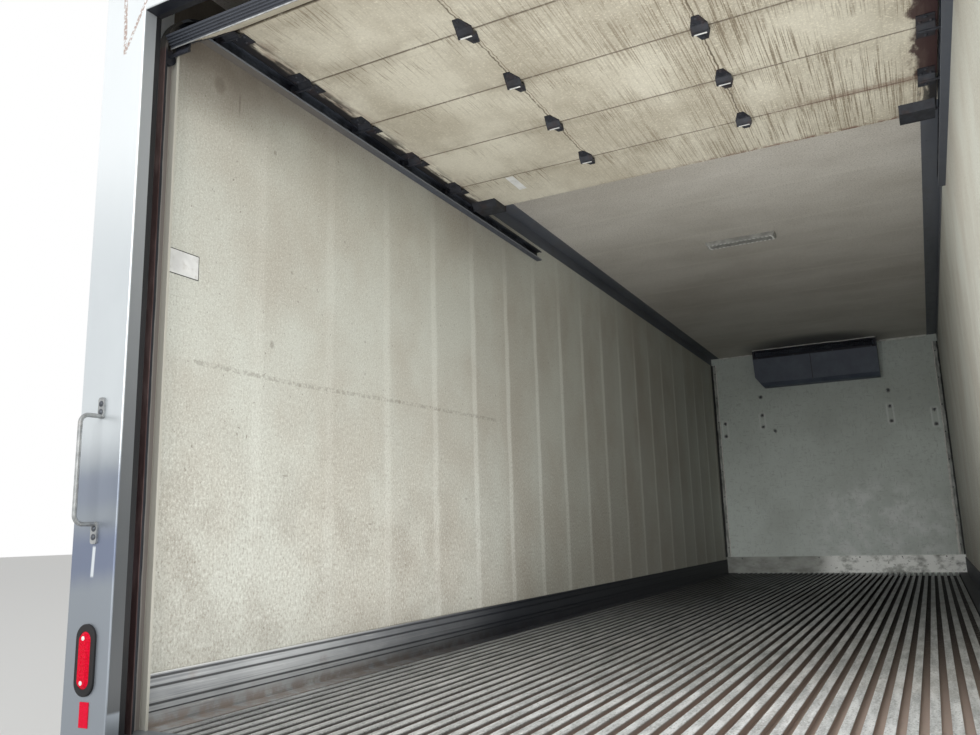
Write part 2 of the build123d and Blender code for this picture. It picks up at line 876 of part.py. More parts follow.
slat_room = grille_height - 2 * grille_frame
slat_count = int(slat_room / slat_pitch)
with BuildPart() as unit_grille:
    with BuildSketch(across(y_nose)):
        with Locations((0, z_grille)):
            Rectangle(grille_width, grille_height)
            with GridLocations(grille_width / 2 - grille_frame / 2, 1, 2, 1):
                bay = grille_width / 2 - 1.5 * grille_frame
                Rectangle(bay, slat_room, mode=Mode.SUBTRACT)
    extrude(amount=slat_depth)
    with BuildSketch(along(-grille_width / 2 + grille_frame / 2)):
        with Locations((y_nose - slat_depth / 2, z_grille)):
            with GridLocations(1, slat_pitch, 1, slat_count):
                slat_length = slat_depth / cos(radians(slat_tilt)) - slat_thickness
                Rectangle(slat_length, slat_thickness, rotation=-slat_tilt)
    extrude(amount=grille_width - grille_frame)
save(unit_grille, "unit_grille")

y_fan = y_nose - fan_setback
motor_front = y_fan - fan_hub_length / 2 - fan_motor_gap
coil_front = motor_front - motor_length
shaft_length = fan_hub_length / 2 + fan_motor_gap + motor_length / 2
blade_tip = (fan_radius**2 - (fan_blade_chord / 2) ** 2) ** 0.5
blade_root = fan_hub_radius - fan_blade_thickness
for label, side in (("fan_left", -1), ("fan_right", 1)):
    fan_centre = Vector(side * fan_spacing / 2, y_fan, z_grille)
    hub_plane = Plane(fan_centre, x_dir=(1, 0, 0), z_dir=(0, 1, 0))
    with BuildPart() as fan:
        with BuildSketch(hub_plane.offset(-fan_hub_length / 2)):
            RegularPolygon(fan_hub_radius, drum_sides)
        extrude(amount=fan_hub_length)
        dome = fan.faces().sort_by(Axis.Y)[-1].edges()
        chamfer(dome, fan_hub_length / 4)
        for blade in range(fan_blades):
            turn = radians(blade * 360 / fan_blades)
            radial = Vector(cos(turn), 0, sin(turn))
            tangent = Vector(-sin(turn), 0, cos(turn))
            lean = radians(fan_pitch) * side
            face_normal = Vector(0, 1, 0) * cos(lean) + tangent * sin(lean)
            with BuildSketch(Plane(fan_centre, x_dir=radial, z_dir=face_normal)):
                Polygon(
                    (blade_root, -fan_blade_chord / 4),
                    (blade_tip, -fan_blade_chord / 2),
                    (fan_radius, 0),
                    (blade_tip, fan_blade_chord / 2),
                    (blade_root, fan_blade_chord / 3),
                    align=None,
                )
            extrude(amount=fan_blade_thickness / 2, both=True)
        with BuildSketch(hub_plane):
            Circle(fan_shaft_radius)
        extrude(amount=-shaft_length)
    save(fan, label)

fan_places = [(-fan_spacing / 2, z_grille), (fan_spacing / 2, z_grille)]
with BuildPart() as fan_motors:
    with BuildSketch(across(motor_front)):
        with Locations(*fan_places):
            RegularPolygon(motor_radius, drum_sides)
    extrude(amount=motor_length)
    with BuildSketch(across(motor_front)):
        with Locations(*fan_places):
            Circle(fan_shaft_radius + shaft_clearance)
    extrude(amount=motor_length / 2 + fan_motor_gap, mode=Mode.SUBTRACT)
save(fan_motors, "fan_motors")

half_bay = half_unit - unit_skin
with BuildPart() as condenser_coil:
    coil_rear = coil_front - coil_thickness
    coil_low = z_grille - grille_height / 2
    block(-half_bay, half_bay, coil_rear, coil_front, coil_low, coil_low + grille_height)
save(condenser_coil, "condenser_coil")

with BuildPart() as fan_shroud:
    with BuildSketch(across(y_fan + shroud_thickness / 2)):
        with Locations((0, z_grille)):
            Rectangle(2 * half_bay, grille_height + 2 * shroud_margin)
        with Locations(*fan_places):
            Circle(fan_radius + shroud_clearance, mode=Mode.SUBTRACT)
    extrude(amount=shroud_thickness)
save(fan_shroud, "fan_shroud")

engine_length, engine_depth, engine_height = engine_size
z_tray = z_unit + unit_skin
with BuildPart() as unit_engine:
    y_engine = y_front_face + unit_depth / 2
    with Locations((0, y_engine, z_tray + engine_height / 2)):
        Box(engine_length, engine_depth, engine_height)
    chamfer(unit_engine.faces().sort_by(Axis.Z)[-1].edges(), unit_skin)
save(unit_engine, "unit_engine")

# Service hatches of the unit, on knuckles outside the shell
x_hinge = hatch_spacing / 2 + hatch_width + hinge_outset
y_hinge = y_nose + hinge_knuckle_radius + hinge_face_gap
leaf_width = hatch_width - 2 * hatch_gap
leaf_height = hatch_height - 2 * hatch_gap
hinge_levels = (z_hatch - hatch_height / 4, z_hatch + hatch_height / 4)
for label, side in (("hatch_left", -1), ("hatch_right", 1)):
    with BuildPart() as hatch:
        with Locations((side * x_hatch, y_nose - hatch_thickness / 2, z_hatch)):
            Box(leaf_width, hatch_thickness, leaf_height)
        fillet(hatch.edges().filter_by(Axis.Y), hatch_thickness)
        for z_hinge in hinge_levels:
            low = z_hinge - hinge_knuckle_length / 2
            with BuildSketch(Plane.XY.offset(low)):
                with Locations((side * x_hinge, y_hinge)):
                    Circle(hinge_knuckle_radius)
                strap = hinge_outset + hatch_gap + hinge_strap
                with Locations((side * (x_hinge - strap / 2), y_nose + hinge_face_gap + hinge_plate)):
                    Rectangle(strap, 2 * hinge_plate)
                foot_x = side * (x_hinge - strap + hinge_strap / 2)
                with Locations((foot_x, y_nose + hinge_face_gap)):
                    Rectangle(hinge_strap, 2 * hinge_face_gap)
                with Locations((side * x_hinge, y_hinge)):
                    Circle(hinge_pin_radius + pin_clearance, mode=Mode.SUBTRACT)
            extrude(amount=hinge_knuckle_length)
    save(hatch, label)

ear_reach = hinge_knuckle_length / 2 + ear_gap + hinge_ear_length
with BuildPart() as hatch_hinges:
    for z_hinge in hinge_levels:
        for low in (z_hinge - ear_reach, z_hinge + ear_reach - hinge_ear_length):
            with BuildSketch(Plane.XY.offset(low)):
                with Locations((x_hinge, y_hinge)):
                    Circle(hinge_knuckle_radius)
                with Locations((x_hinge, (y_nose + y_hinge) / 2)):
                    Rectangle(2 * hinge_knuckle_radius, y_hinge - y_nose)
            extrude(amount=hinge_ear_length)
        with BuildSketch(Plane.XY.offset(z_hinge - ear_reach)):
            with Locations((x_hinge, y_hinge)):
                Circle(hinge_pin_radius)
        extrude(amount=2 * ear_reach)
    mirror(about=Plane.YZ)
save(hatch_hinges, "hatch_hinges")

# Tail lamps in rubber grommets, and marker lamps along both ends of the roof
x_lamp = half_opening + (half_width - half_opening) / 2
z_lamp = z_floor + lamp_above_floor
lamp_places = [(-x_lamp, z_lamp), (x_lamp, z_lamp)]
with BuildPart() as lamp_grommets:
    with BuildSketch(across(y_rear)):
        with Locations(*lamp_places):
            SlotOverall(grommet_length, grommet_width, rotation=90)
    extrude(amount=grommet_proud)
    chamfer(lamp_grommets.faces().group_by(Axis.Y)[0].edges(), grommet_proud / 4)
    with BuildSketch(across(y_rear)):
        with Locations(*lamp_places):
            SlotOverall(lamp_length + 2 * lamp_gap, lamp_width + 2 * lamp_gap, rotation=90)
    extrude(amount=grommet_proud, mode=Mode.SUBTRACT)
save(lamp_grommets, "lamp_grommets")

with BuildPart() as tail_lamps:
    with BuildSketch(across(y_rear)):
        with Locations(*lamp_places):
            SlotOverall(lamp_length, lamp_width, rotation=90)
    extrude(amount=lamp_proud)
    chamfer(tail_lamps.faces().group_by(Axis.Y)[0].edges(), lamp_proud / 2)
save(tail_lamps, "tail_lamps")

z_marker = z_roof - roof_edge_radius - marker_height
x_corner_marker = half_width - corner_radius - marker_length / 2
marker_row = [-x_corner_marker, -marker_spacing, 0, marker_spacing, x_corner_marker]
for label, y_face, outward in (("markers_rear", y_rear, 1), ("markers_front", y_front_face, -1)):
    with BuildPart() as markers:
        with BuildSketch(across(y_face)):
            with Locations(*[(x, z_marker) for x in marker_row]):
                Rectangle(marker_length, marker_height)
        extrude(amount=outward * marker_proud)
        lens_faces = markers.faces().filter_by(Axis.Y).group_by(Axis.Y)
        lens_face = lens_faces[0] if outward > 0 else lens_faces[-1]
        chamfer(lens_face.edges(), marker_proud / 3)
    save(markers, label)

# Grab handles: bent rod with flattened, bolted lugs
with BuildPart() as grab_handles:
    y_rod = y_rear - handle_standoff
    z_low = z_floor + handle_low
    z_high = z_floor + handle_high
    with BuildLine(along(x_handle)) as rod:
        FilletPolyline(
            (y_rear - lug_thickness / 2, z_high),
            (y_rod, z_high),
            (y_rod, z_low),
            (y_rear - lug_thickness / 2, z_low),
            radius=handle_bend,
        )
    with BuildSketch(rod.line ^ 0):
        RegularPolygon(handle_rod_radius, rod_sides)
    sweep()
    lug_shift = lug_length / 2 - handle_rod_radius
    with BuildSketch(across(y_rear)):
        with Locations((x_handle, z_high + lug_shift), (x_handle, z_low - lug_shift)):
            RectangleRounded(lug_width, lug_length, lug_width / 3)
    extrude(amount=lug_thickness)
    mirror(about=Plane.YZ)
save(grab_handles, "grab_handles")
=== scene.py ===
"""Dresses an insulated, refrigerated truck body that is seen through its open rear doorway.

Every size is in metres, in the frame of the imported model: +X is the kerb side, +Y the front, +Z up.
"""

import logging
import math
from dataclasses import dataclass, field
from enum import Enum
from functools import reduce

import bmesh
import bpy
from mathutils import Euler, Matrix, Vector


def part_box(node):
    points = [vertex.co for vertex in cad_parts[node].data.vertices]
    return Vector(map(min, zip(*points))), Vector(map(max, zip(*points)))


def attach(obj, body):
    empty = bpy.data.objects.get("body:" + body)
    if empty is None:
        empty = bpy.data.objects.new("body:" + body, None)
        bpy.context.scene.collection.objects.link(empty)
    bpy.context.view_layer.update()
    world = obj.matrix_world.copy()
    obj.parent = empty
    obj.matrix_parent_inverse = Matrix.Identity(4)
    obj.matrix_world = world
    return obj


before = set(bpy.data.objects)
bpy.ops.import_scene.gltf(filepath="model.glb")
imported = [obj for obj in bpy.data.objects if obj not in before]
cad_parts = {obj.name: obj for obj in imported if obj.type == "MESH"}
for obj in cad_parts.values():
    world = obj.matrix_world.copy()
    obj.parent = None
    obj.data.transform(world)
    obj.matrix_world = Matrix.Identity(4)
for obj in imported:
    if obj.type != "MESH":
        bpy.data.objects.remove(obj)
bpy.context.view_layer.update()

Socket = bpy.types.NodeSocket
Material = bpy.types.Material
Piece = bpy.types.Object
Colour = tuple[float, float, float]
Pair = tuple[float, float]
Point = tuple[float, float, float]

log = logging.getLogger("truck_body")

SIDES = (-1, 1)
SIDE_NAMES = {-1: "left", 1: "right"}


class Facing(Enum):
    """The way that a fastener's head looks."""

    UP = (0, 0, 1)
    DOWN = (0, 0, -1)
    REAR = (0, -1, 0)
    FRONT = (0, 1, 0)
    LEFT = (-1, 0, 0)
    RIGHT = (1, 0, 0)


class Head(Enum):
    """A fastener head: sides, radius, top radius, height, washer radius, washer thickness."""

    RIVET = (10, 0.0042, 0.0022, 0.0018, 0.0065, 0.0007)
    SCREW = (12, 0.0050, 0.0036, 0.0020, 0.0070, 0.0008)
    BOLT = (6, 0.0085, 0.0080, 0.0055, 0.0120, 0.0015)
    CARRIAGE = (12, 0.0070, 0.0030, 0.0032, 0.0090, 0.0010)
    PIP = (12, 0.0048, 0.0030, 0.0012, 0.0062, 0.0005)


def tone(red: int, green: int, blue: int) -> Colour:
    """Turns an sRGB colour of 0 to 255 into linear values."""
    return tuple(
        c / 12.92 if c <= 0.04045 else ((c + 0.055) / 1.055) ** 2.4
        for c in (red / 255, green / 255, blue / 255)
    )


def inward(side: int) -> Facing:
    """The facing from one side of the body towards its middle."""
    return Facing.RIGHT if side < 0 else Facing.LEFT


def outward(side: int) -> Facing:
    """The facing from the middle of the body out over one side."""
    return Facing.LEFT if side < 0 else Facing.RIGHT


def feed(target: Socket, value: object) -> None:
    """Links a socket to a node's input, or sets the input to a constant.

    Args:
        target: The input.
        value: An output socket, a number, a vector or a linear colour.
    """
    if isinstance(value, Socket):
        target.id_data.links.new(value, target)
    elif isinstance(value, tuple) and target.type == "RGBA":
        target.default_value = (*value, 1.0)
    else:
        target.default_value = value


def add_node(
    tree: bpy.types.NodeTree, kind: str, inputs: dict[str | int, object], **settings: object
) -> bpy.types.Node:
    """Adds a node to a shader or geometry tree.

    Args:
        tree: The tree.
        kind: The node's type.
        inputs: Sockets or constants, by the input's name or number.
        settings: The node's own properties.

    Returns:
        The node.
    """
    node = tree.nodes.new(kind)
    for key, value in settings.items():
        setattr(node, key, value)
    for key, value in inputs.items():
        feed(node.inputs[key], value)
    return node


def placed(name: str, data: bpy.types.ID) -> Piece:
    """Puts a mesh, a lamp or a camera into the scene, at the origin."""
    thing = bpy.data.objects.new(name, data)
    bpy.context.scene.collection.objects.link(thing)
    return thing


def solid_piece(name: str, shape: bmesh.types.BMesh, finish: Material) -> Piece:
    """Turns a shape into a piece and frees the shape.

    Args:
        name: The piece's name.
        shape: The shape.
        finish: Its material.

    Returns:
        The piece.
    """
    mesh = bpy.data.meshes.new(name)
    shape.to_mesh(mesh)
    shape.free()
    mesh.materials.append(finish)
    return placed(name, mesh)


class Paint:
    """One material under construction. Most methods add nodes and return their output."""

    def __init__(self, name: str) -> None:
        """Starts a material.

        Args:
            name: The material's name.
        """
        self.material = bpy.data.materials.new(name)
        self.material.use_nodes = True
        self.tree = self.material.node_tree
        self.shader = self.tree.nodes["Principled BSDF"]
        self.place = add_node(self.tree, "ShaderNodeTexCoord", {}).outputs["Object"]
        self.x, self.y, self.z = add_node(self.tree, "ShaderNodeSeparateXYZ", {0: self.place}).outputs
        self.colour: Socket | Colour = (0.8, 0.8, 0.8)

    def maths(self, operation: str, *values: Socket | float) -> Socket:
        """Adds a Math node.

        Args:
            operation: The node's operation, such as ADD.
            values: Its inputs, in order.

        Returns:
            The result.
        """
        node = add_node(self.tree, "ShaderNodeMath", dict(enumerate(values)), operation=operation)
        return node.outputs[0]

    def scaled(self, value: Socket, factor: Socket | float, plus: Socket | float) -> Socket:
        """A value times a factor, plus another value."""
        return self.maths("MULTIPLY_ADD", value, factor, plus)

    def across(self) -> Socket:
        """The distance from the middle plane of the body."""
        return self.maths("ABSOLUTE", self.x)

    def noise(self, size: float, stretch: Point = (1, 1, 1), detail: float = 3.0) -> Socket:
        """Adds a noise pattern.

        Args:
            size: The pattern's size in metres.
            stretch: How many times longer it is along each axis.
            detail: The noise's detail.

        Returns:
            The noise, from 0 to 1.
        """
        scale = [1 / (size * s) for s in stretch]
        mapping = add_node(self.tree, "ShaderNodeMapping", {"Vector": self.place, "Scale": scale})
        settings = {"Vector": mapping.outputs[0], "Scale": 1.0, "Detail": detail, "Roughness": 0.6}
        return add_node(self.tree, "ShaderNodeTexNoise", settings).outputs["Fac"]

    def cells(self, size: float) -> Socket:
        """Adds round cells of a size in metres: the distance from each cell's middle."""
        settings = {"Vector": self.place, "Scale": 1 / size}
        return add_node(self.tree, "ShaderNodeTexVoronoi", settings).outputs["Distance"]

    def step(self, value: Socket, low: float, high: float) -> Socket:
        """Rises smoothly from 0 at low to 1 at high, or falls where low is above high.

        Args:
            value: The value to test.
            low: Where the result is 0.
            high: Where the result is 1.

        Returns:
            The mask.
        """
        settings = {
            "Value": value, "From Min": min(low, high), "From Max": max(low, high),
            "To Min": float(low > high), "To Max": float(low <= high),
        }
        node = add_node(self.tree, "ShaderNodeMapRange", settings, interpolation_type="SMOOTHSTEP")
        return node.outputs["Result"]

    def window(self, value: Socket, middle: float, half: float, soft: float) -> Socket:
        """A mask that is 1 near a value and 0 away from it.

        Args:
            value: The value to test.
            middle: The middle of the window.
            half: Half of its width.
            soft: How far its edges fade.

        Returns:
            The mask.
        """
        away = self.maths("ABSOLUTE", self.maths("SUBTRACT", value, middle))
        return self.step(away, half + soft, half)

    def spot(self, centre: Pair, radii: Pair, axes: str) -> Socket:
        """A soft oval patch in one plane.

        Args:
            centre: Its middle along the two axes.
            radii: Its half sizes.
            axes: The two axes, such as "yz".

        Returns:
            The mask, 1 in the middle.
        """
        squares = []
        for axis, middle, radius in zip(axes, centre, radii):
            along = self.maths("SUBTRACT", getattr(self, axis), middle)
            squares.append(self.maths("POWER", self.maths("DIVIDE", along, radius), 2.0))
        return self.step(self.maths("ADD", *squares), 1.0, 0.1)

    def stroke(self, start: Pair, end: Pair, width: float, axes: str) -> Socket:
        """A thin line between two points of one plane.

        Args:
            start: One end along the two axes.
            end: The other end.
            width: The line's width.
            axes: The two axes, such as "xz".

        Returns:
            The mask, 1 on the line.
        """
        run = Vector(end) - Vector(start)
        length = run.length
        unit = run / length
        a, b = (
            self.maths("SUBTRACT", getattr(self, axis), first) for axis, first in zip(axes, start)
        )
        forward = self.maths("ADD", self.both(a, unit.x), self.both(b, unit.y))
        aside = self.maths("SUBTRACT", self.both(a, unit.y), self.both(b, unit.x))
        on_line = self.window(aside, 0.0, width / 2, width / 2)
        return self.both(on_line, self.window(forward, length / 2, length / 2, width))

    def both(self, *masks: Socket | float) -> Socket:
        """The product of masks."""
        return reduce(lambda first, second: self.maths("MULTIPLY", first, second), masks)

    def either(self, *masks: Socket) -> Socket:
        """The highest of masks."""
        return reduce(lambda first, second: self.maths("MAXIMUM", first, second), masks)

    def besides(self, mask: Socket) -> Socket:
        """The mask of all that another mask leaves out."""
        return self.maths("SUBTRACT", 1.0, mask)

    def repeat(self, value: Socket, start: float, pitch: float) -> Socket:
        """Counts along an axis in pitches, and returns the part after the point, 0 to 1."""
        shifted = self.maths("DIVIDE", self.maths("SUBTRACT", value, start), pitch)
        return self.maths("FRACT", shifted)

    def mix(self, factor: Socket | float, first: Socket | Colour, second: Socket | Colour) -> Socket:
        """Mixes two colours.

        Args:
            factor: 0 for the first and 1 for the second.
            first: A colour.
            second: A colour.

        Returns:
            The mixed colour.
        """
        settings = {0: factor, 6: first, 7: second}
        return add_node(self.tree, "ShaderNodeMix", settings, data_type="RGBA").outputs[2]

    def over(
        self, colour: Socket | Colour, tint: Socket | Colour, mask: Socket, share: float = 1.0
    ) -> Socket:
        """Lays a tint over a colour.

        Args:
            colour: The colour below.
            tint: The colour above.
            mask: Where the tint lies.
            share: How much it covers.

        Returns:
            The mixed colour.
        """
        return self.mix(mask if share == 1.0 else self.both(mask, share), colour, tint)

    def lay(self, tint: Socket | Colour, mask: Socket, share: float = 1.0) -> None:
        """Lays a tint over all that the material has so far.

        Args:
            tint: The colour above.
            mask: Where the tint lies.
            share: How much it covers.
        """
        self.colour = self.over(self.colour, tint, mask, share)

    def patches(
        self, size: float, low: float, high: float, stretch: Point = (1, 1, 1), detail: float = 4.0
    ) -> Socket:
        """Adds irregular patches.

        Args:
            size: Their size in metres.
            low: The noise level where they start.
            high: The noise level where they are full.
            stretch: How many times longer they are along each axis.
            detail: How ragged they are.

        Returns:
            The mask.
        """
        return self.step(self.noise(size, stretch, detail), low, high)

    def bump(self, height: Socket, depth: float, strength: float = 1.0) -> None:
        """Gives the surface relief, over any that it has.

        Args:
            height: The relief, from 0 to 1.
            depth: Its depth in metres.
            strength: How strongly it shows.
        """
        settings = {"Distance": depth, "Strength": strength, "Height": height}
        node = add_node(self.tree, "ShaderNodeBump", settings)
        target = self.shader.inputs["Normal"]
        if target.is_linked:
            feed(node.inputs["Normal"], target.links[0].from_socket)
        feed(target, node.outputs[0])

    def done(self, **values: Socket | float | Colour) -> Material:
        """Feeds the shader's inputs, with the colour so far as its base colour.

        Args:
            values: Inputs by name, with underscores for spaces.

        Returns:
            The finished material.
        """
        for key, value in {"Base_Color": self.colour, **values}.items():
            feed(self.shader.inputs[key.replace("_", " ")], value)
        return self.material


@dataclass(frozen=True)
class Coating:
    """A paint, plastic, rubber or metal with mottled colour, soiling and fine grain."""

    name: str
    base: Colour
    worn: Colour
    soil: Colour
    mottle: float = 0.25
    soiling: float = 0.35
    soil_size: float = 0.18
    roughness: Pair = (0.4, 0.6)
    metallic: float = 0.0
    grain: float = 0.004
    grain_depth: float = 0.0003
    brushed: Point = (1, 1, 1)
    coat: float = 0.0

    def make(self) -> Material:
        """Builds the material."""
        paint = Paint(self.name)
        cloud = paint.noise(self.mottle, self.brushed, 4.0)
        dirt = paint.step(paint.noise(self.soil_size, detail=6.0), 0.5, 0.75)
        grain = paint.noise(self.grain, self.brushed, 2.0)
        paint.colour = paint.mix(paint.step(cloud, 0.3, 0.7), self.base, self.worn)
        paint.lay(self.soil, dirt, self.soiling)
        low, high = self.roughness
        rough = paint.scaled(paint.maths("ADD", cloud, dirt), (high - low) / 2, low)
        paint.bump(grain, self.grain_depth, 0.6)
        return paint.done(Roughness=rough, Metallic=self.metallic, Coat_Weight=self.coat)


@dataclass(frozen=True)
class LinerFinish:
    """The side walls: a pebbled, soiled liner inside, with soot and painted shade under the door track and
    painted shade past each seam, and a white gel-coated skin outside.
    """

    name: str = "wall_panel"
    band_start: float = -3.766
    band_pitch: float = 0.4085
    scratch: tuple[Pair, ...] = (
        (-4.056, 1.451), (-3.535, 1.448), (-2.847, 1.467), (-1.900, 1.483),
    )
    stains: tuple[tuple[float, float, float, float], ...] = (
        (-3.993, 2.470, 0.034, 0.040), (-3.893, 2.440, 0.006, 0.060), (-3.700, 2.330, 0.010, 0.012),
        (-3.592, 1.878, 0.006, 0.010), (-3.694, 1.575, 0.014, 0.020), (-3.260, 2.104, 0.006, 0.008),
        (-3.115, 1.695, 0.006, 0.008), (-3.115, 1.555, 0.006, 0.008), (-3.857, 1.232, 0.006, 0.008),
        (-3.610, 1.100, 0.020, 0.005), (-3.079, 0.924, 0.016, 0.005), (-2.250, 1.044, 0.020, 0.005),
    )
    clean: Colour = tone(200, 202, 193)
    soiled: Colour = tone(186, 183, 172)
    pale: Colour = tone(235, 236, 229)
    speck: Colour = tone(132, 123, 111)
    grime_and_shade: Colour = tone(88, 75, 63)
    skin: Colour = tone(228, 230, 231)
    road_film: Colour = tone(156, 150, 140)

    def make(self, y_rear: float, z_track: float, inner: float) -> Material:
        """Builds the material.

        Args:
            y_rear: The liner's rear edge.
            z_track: The lower edge of the door track.
            inner: Half of the inside width.

        Returns:
            The material.
        """
        paint = Paint(self.name)
        paint.colour = paint.mix(paint.patches(0.5, 0.36, 0.68, (1, 1, 1.3), 6.0), self.clean, self.soiled)
        wander = paint.scaled(paint.noise(0.12, (1, 1, 2)), 0.03, paint.y)
        phase = paint.repeat(wander, self.band_start + 0.015, self.band_pitch)
        deep = paint.both(
            paint.step(paint.y, y_rear + 0.6, y_rear + 3.2), paint.step(paint.z, z_track, z_track - 0.5)
        )
        # Pale lines at the liner's seams, partly a painted highlight, stronger deeper inside and on the
        # left.
        band = paint.either(paint.step(phase, 0.075, 0.035), paint.step(phase, 0.925, 0.965))
        near_side = paint.scaled(paint.step(paint.x, 0.2, -0.2), 0.75, 0.25)
        strength = paint.both(near_side, paint.scaled(deep, 0.40, 0.08))
        paint.lay(self.pale, paint.both(band, strength))
        # Painted shade on each panel just past its seam line.
        after = paint.both(paint.step(phase, 0.05, 0.10), paint.step(phase, 0.95, 0.10))
        paint.lay(self.speck, paint.both(after, near_side, paint.scaled(deep, 0.20, 0.05)))
        pebbles = paint.noise(0.006, detail=3.0)
        fibres = paint.noise(0.009, (1, 1, 1.6), 6.0)
        low = paint.scaled(paint.step(paint.z, 1.7, 0.6), 0.32, 0.14)
        cloudy = paint.both(
            paint.patches(0.16, 0.42, 0.66, detail=7.0), paint.step(paint.z, 1.6, 0.7),
            paint.step(paint.y, y_rear + 3.4, y_rear + 1.2),
        )
        paint.lay(self.speck, cloudy, 0.30)
        paint.lay(self.speck, paint.step(pebbles, 0.50, 0.72), 0.36)
        paint.lay(self.pale, paint.step(pebbles, 0.48, 0.30), 0.40)
        paint.lay(self.speck, paint.both(paint.step(fibres, 0.49, 0.66), low))
        paint.lay(self.pale, paint.both(paint.step(fibres, 0.47, 0.33), low))
        paint.lay(self.grime_and_shade, paint.patches(0.014, 0.73, 0.78, detail=1.0), 0.45)
        paint.lay(self.speck, paint.step(paint.z, 1.2, 0.4), 0.20)
        # Soot and painted shade: darker in the upper rear corner, just under the track at the rear, and in
        # a band below the track further in.
        corner = paint.spot((y_rear + 0.15, z_track + 0.02), (0.75, 0.36), "yz")
        edge = paint.both(
            paint.step(paint.z, z_track - 0.16, z_track - 0.02),
            paint.step(paint.y, y_rear + 1.4, y_rear + 0.3),
        )
        rail = paint.both(
            paint.step(paint.z, z_track - 0.42, z_track),
            paint.step(paint.y, y_rear + 3.4, y_rear + 2.0), 0.62,
        )
        soot_shade_mottle = paint.scaled(paint.noise(0.25, detail=5.0), 0.5, 0.42)
        paint.lay(self.grime_and_shade, paint.both(paint.either(corner, rail), soot_shade_mottle), 0.85)
        paint.lay(self.grime_and_shade, paint.both(edge, soot_shade_mottle), 0.95)
        for y, z, wide, high in self.stains:
            paint.lay(self.grime_and_shade, paint.spot((y, z), (wide, high), "yz"), 0.38)
        broken = paint.patches(0.018, 0.44, 0.56)
        for start, end in zip(self.scratch, self.scratch[1:]):
            line = paint.stroke(start, end, 0.011, "yz")
            paint.lay(self.grime_and_shade, paint.both(line, broken), 0.30)
        streaks = paint.noise(0.10, (1, 1, 12), 4.0)
        film = paint.both(paint.step(paint.z, 0.95, 0.2), paint.step(streaks, 0.3, 0.8))
        skin = paint.over(self.skin, self.road_film, film, 0.55)
        skin = paint.over(skin, self.road_film, paint.step(streaks, 0.55, 0.8), 0.10)
        outside = paint.step(paint.across(), inner + 0.05, inner + 0.06)
        inside = paint.besides(outside)
        paint.bump(paint.both(inside, pebbles), 0.0012, 0.6)
        paint.bump(paint.noise(0.9, detail=1.0), 0.0015, 0.35)
        rough = paint.scaled(inside, 0.42, 0.30)
        paint.lay(skin, outside)
        return paint.done(Roughness=rough)


@dataclass(frozen=True)
class RoofFinish:
    """The roof panel: a ceiling with pressed seams below and a dusty white skin above."""

    name: str = "roof_panel"
    seam_start: float = -1.221
    seam_pitch: float = 0.6057
    clean: Colour = tone(211, 207, 199)
    soiled: Colour = tone(190, 185, 176)
    seam: Colour = tone(224, 220, 211)
    shade: Colour = tone(134, 128, 118)
    fan_shade: Colour = tone(56, 60, 70)
    skin: Colour = tone(224, 226, 226)
    dust: Colour = tone(176, 170, 158)

    def make(self, z_ceiling: float, y_front: float) -> Material:
        """Builds the material for a ceiling at z_ceiling that ends at y_front."""
        paint = Paint(self.name)
        fine = paint.noise(0.008, detail=4.0)
        paint.colour = paint.mix(paint.patches(0.7, 0.35, 0.7, (1.5, 1, 1), 5.0), self.clean, self.soiled)
        phase = paint.repeat(paint.y, self.seam_start - self.seam_pitch / 2, self.seam_pitch)
        light_line = paint.window(phase, 0.5, 0.02, 0.03)
        paint.lay(self.seam, light_line, 0.22)
        paint.lay(self.shade, paint.step(phase, 0.9, 0.55), 0.05)
        paint.lay(self.shade, paint.step(fine, 0.50, 0.70), 0.55)
        paint.lay(self.seam, paint.step(fine, 0.48, 0.32), 0.45)
        near_fan = paint.spot((-0.03, y_front - 0.25), (0.85, 0.62), "xy")
        paint.lay(self.fan_shade, near_fan, 0.75)
        skin = paint.over(self.skin, self.dust, paint.patches(0.8, 0.4, 0.75, detail=6.0), 0.5)
        above = paint.step(paint.z, z_ceiling + 0.04, z_ceiling + 0.05)
        rough = paint.scaled(above, 0.10, 0.66)
        paint.bump(paint.either(light_line, paint.both(fine, 0.3)), 0.0015, 0.5)
        paint.lay(skin, above)
        return paint.done(Roughness=rough)


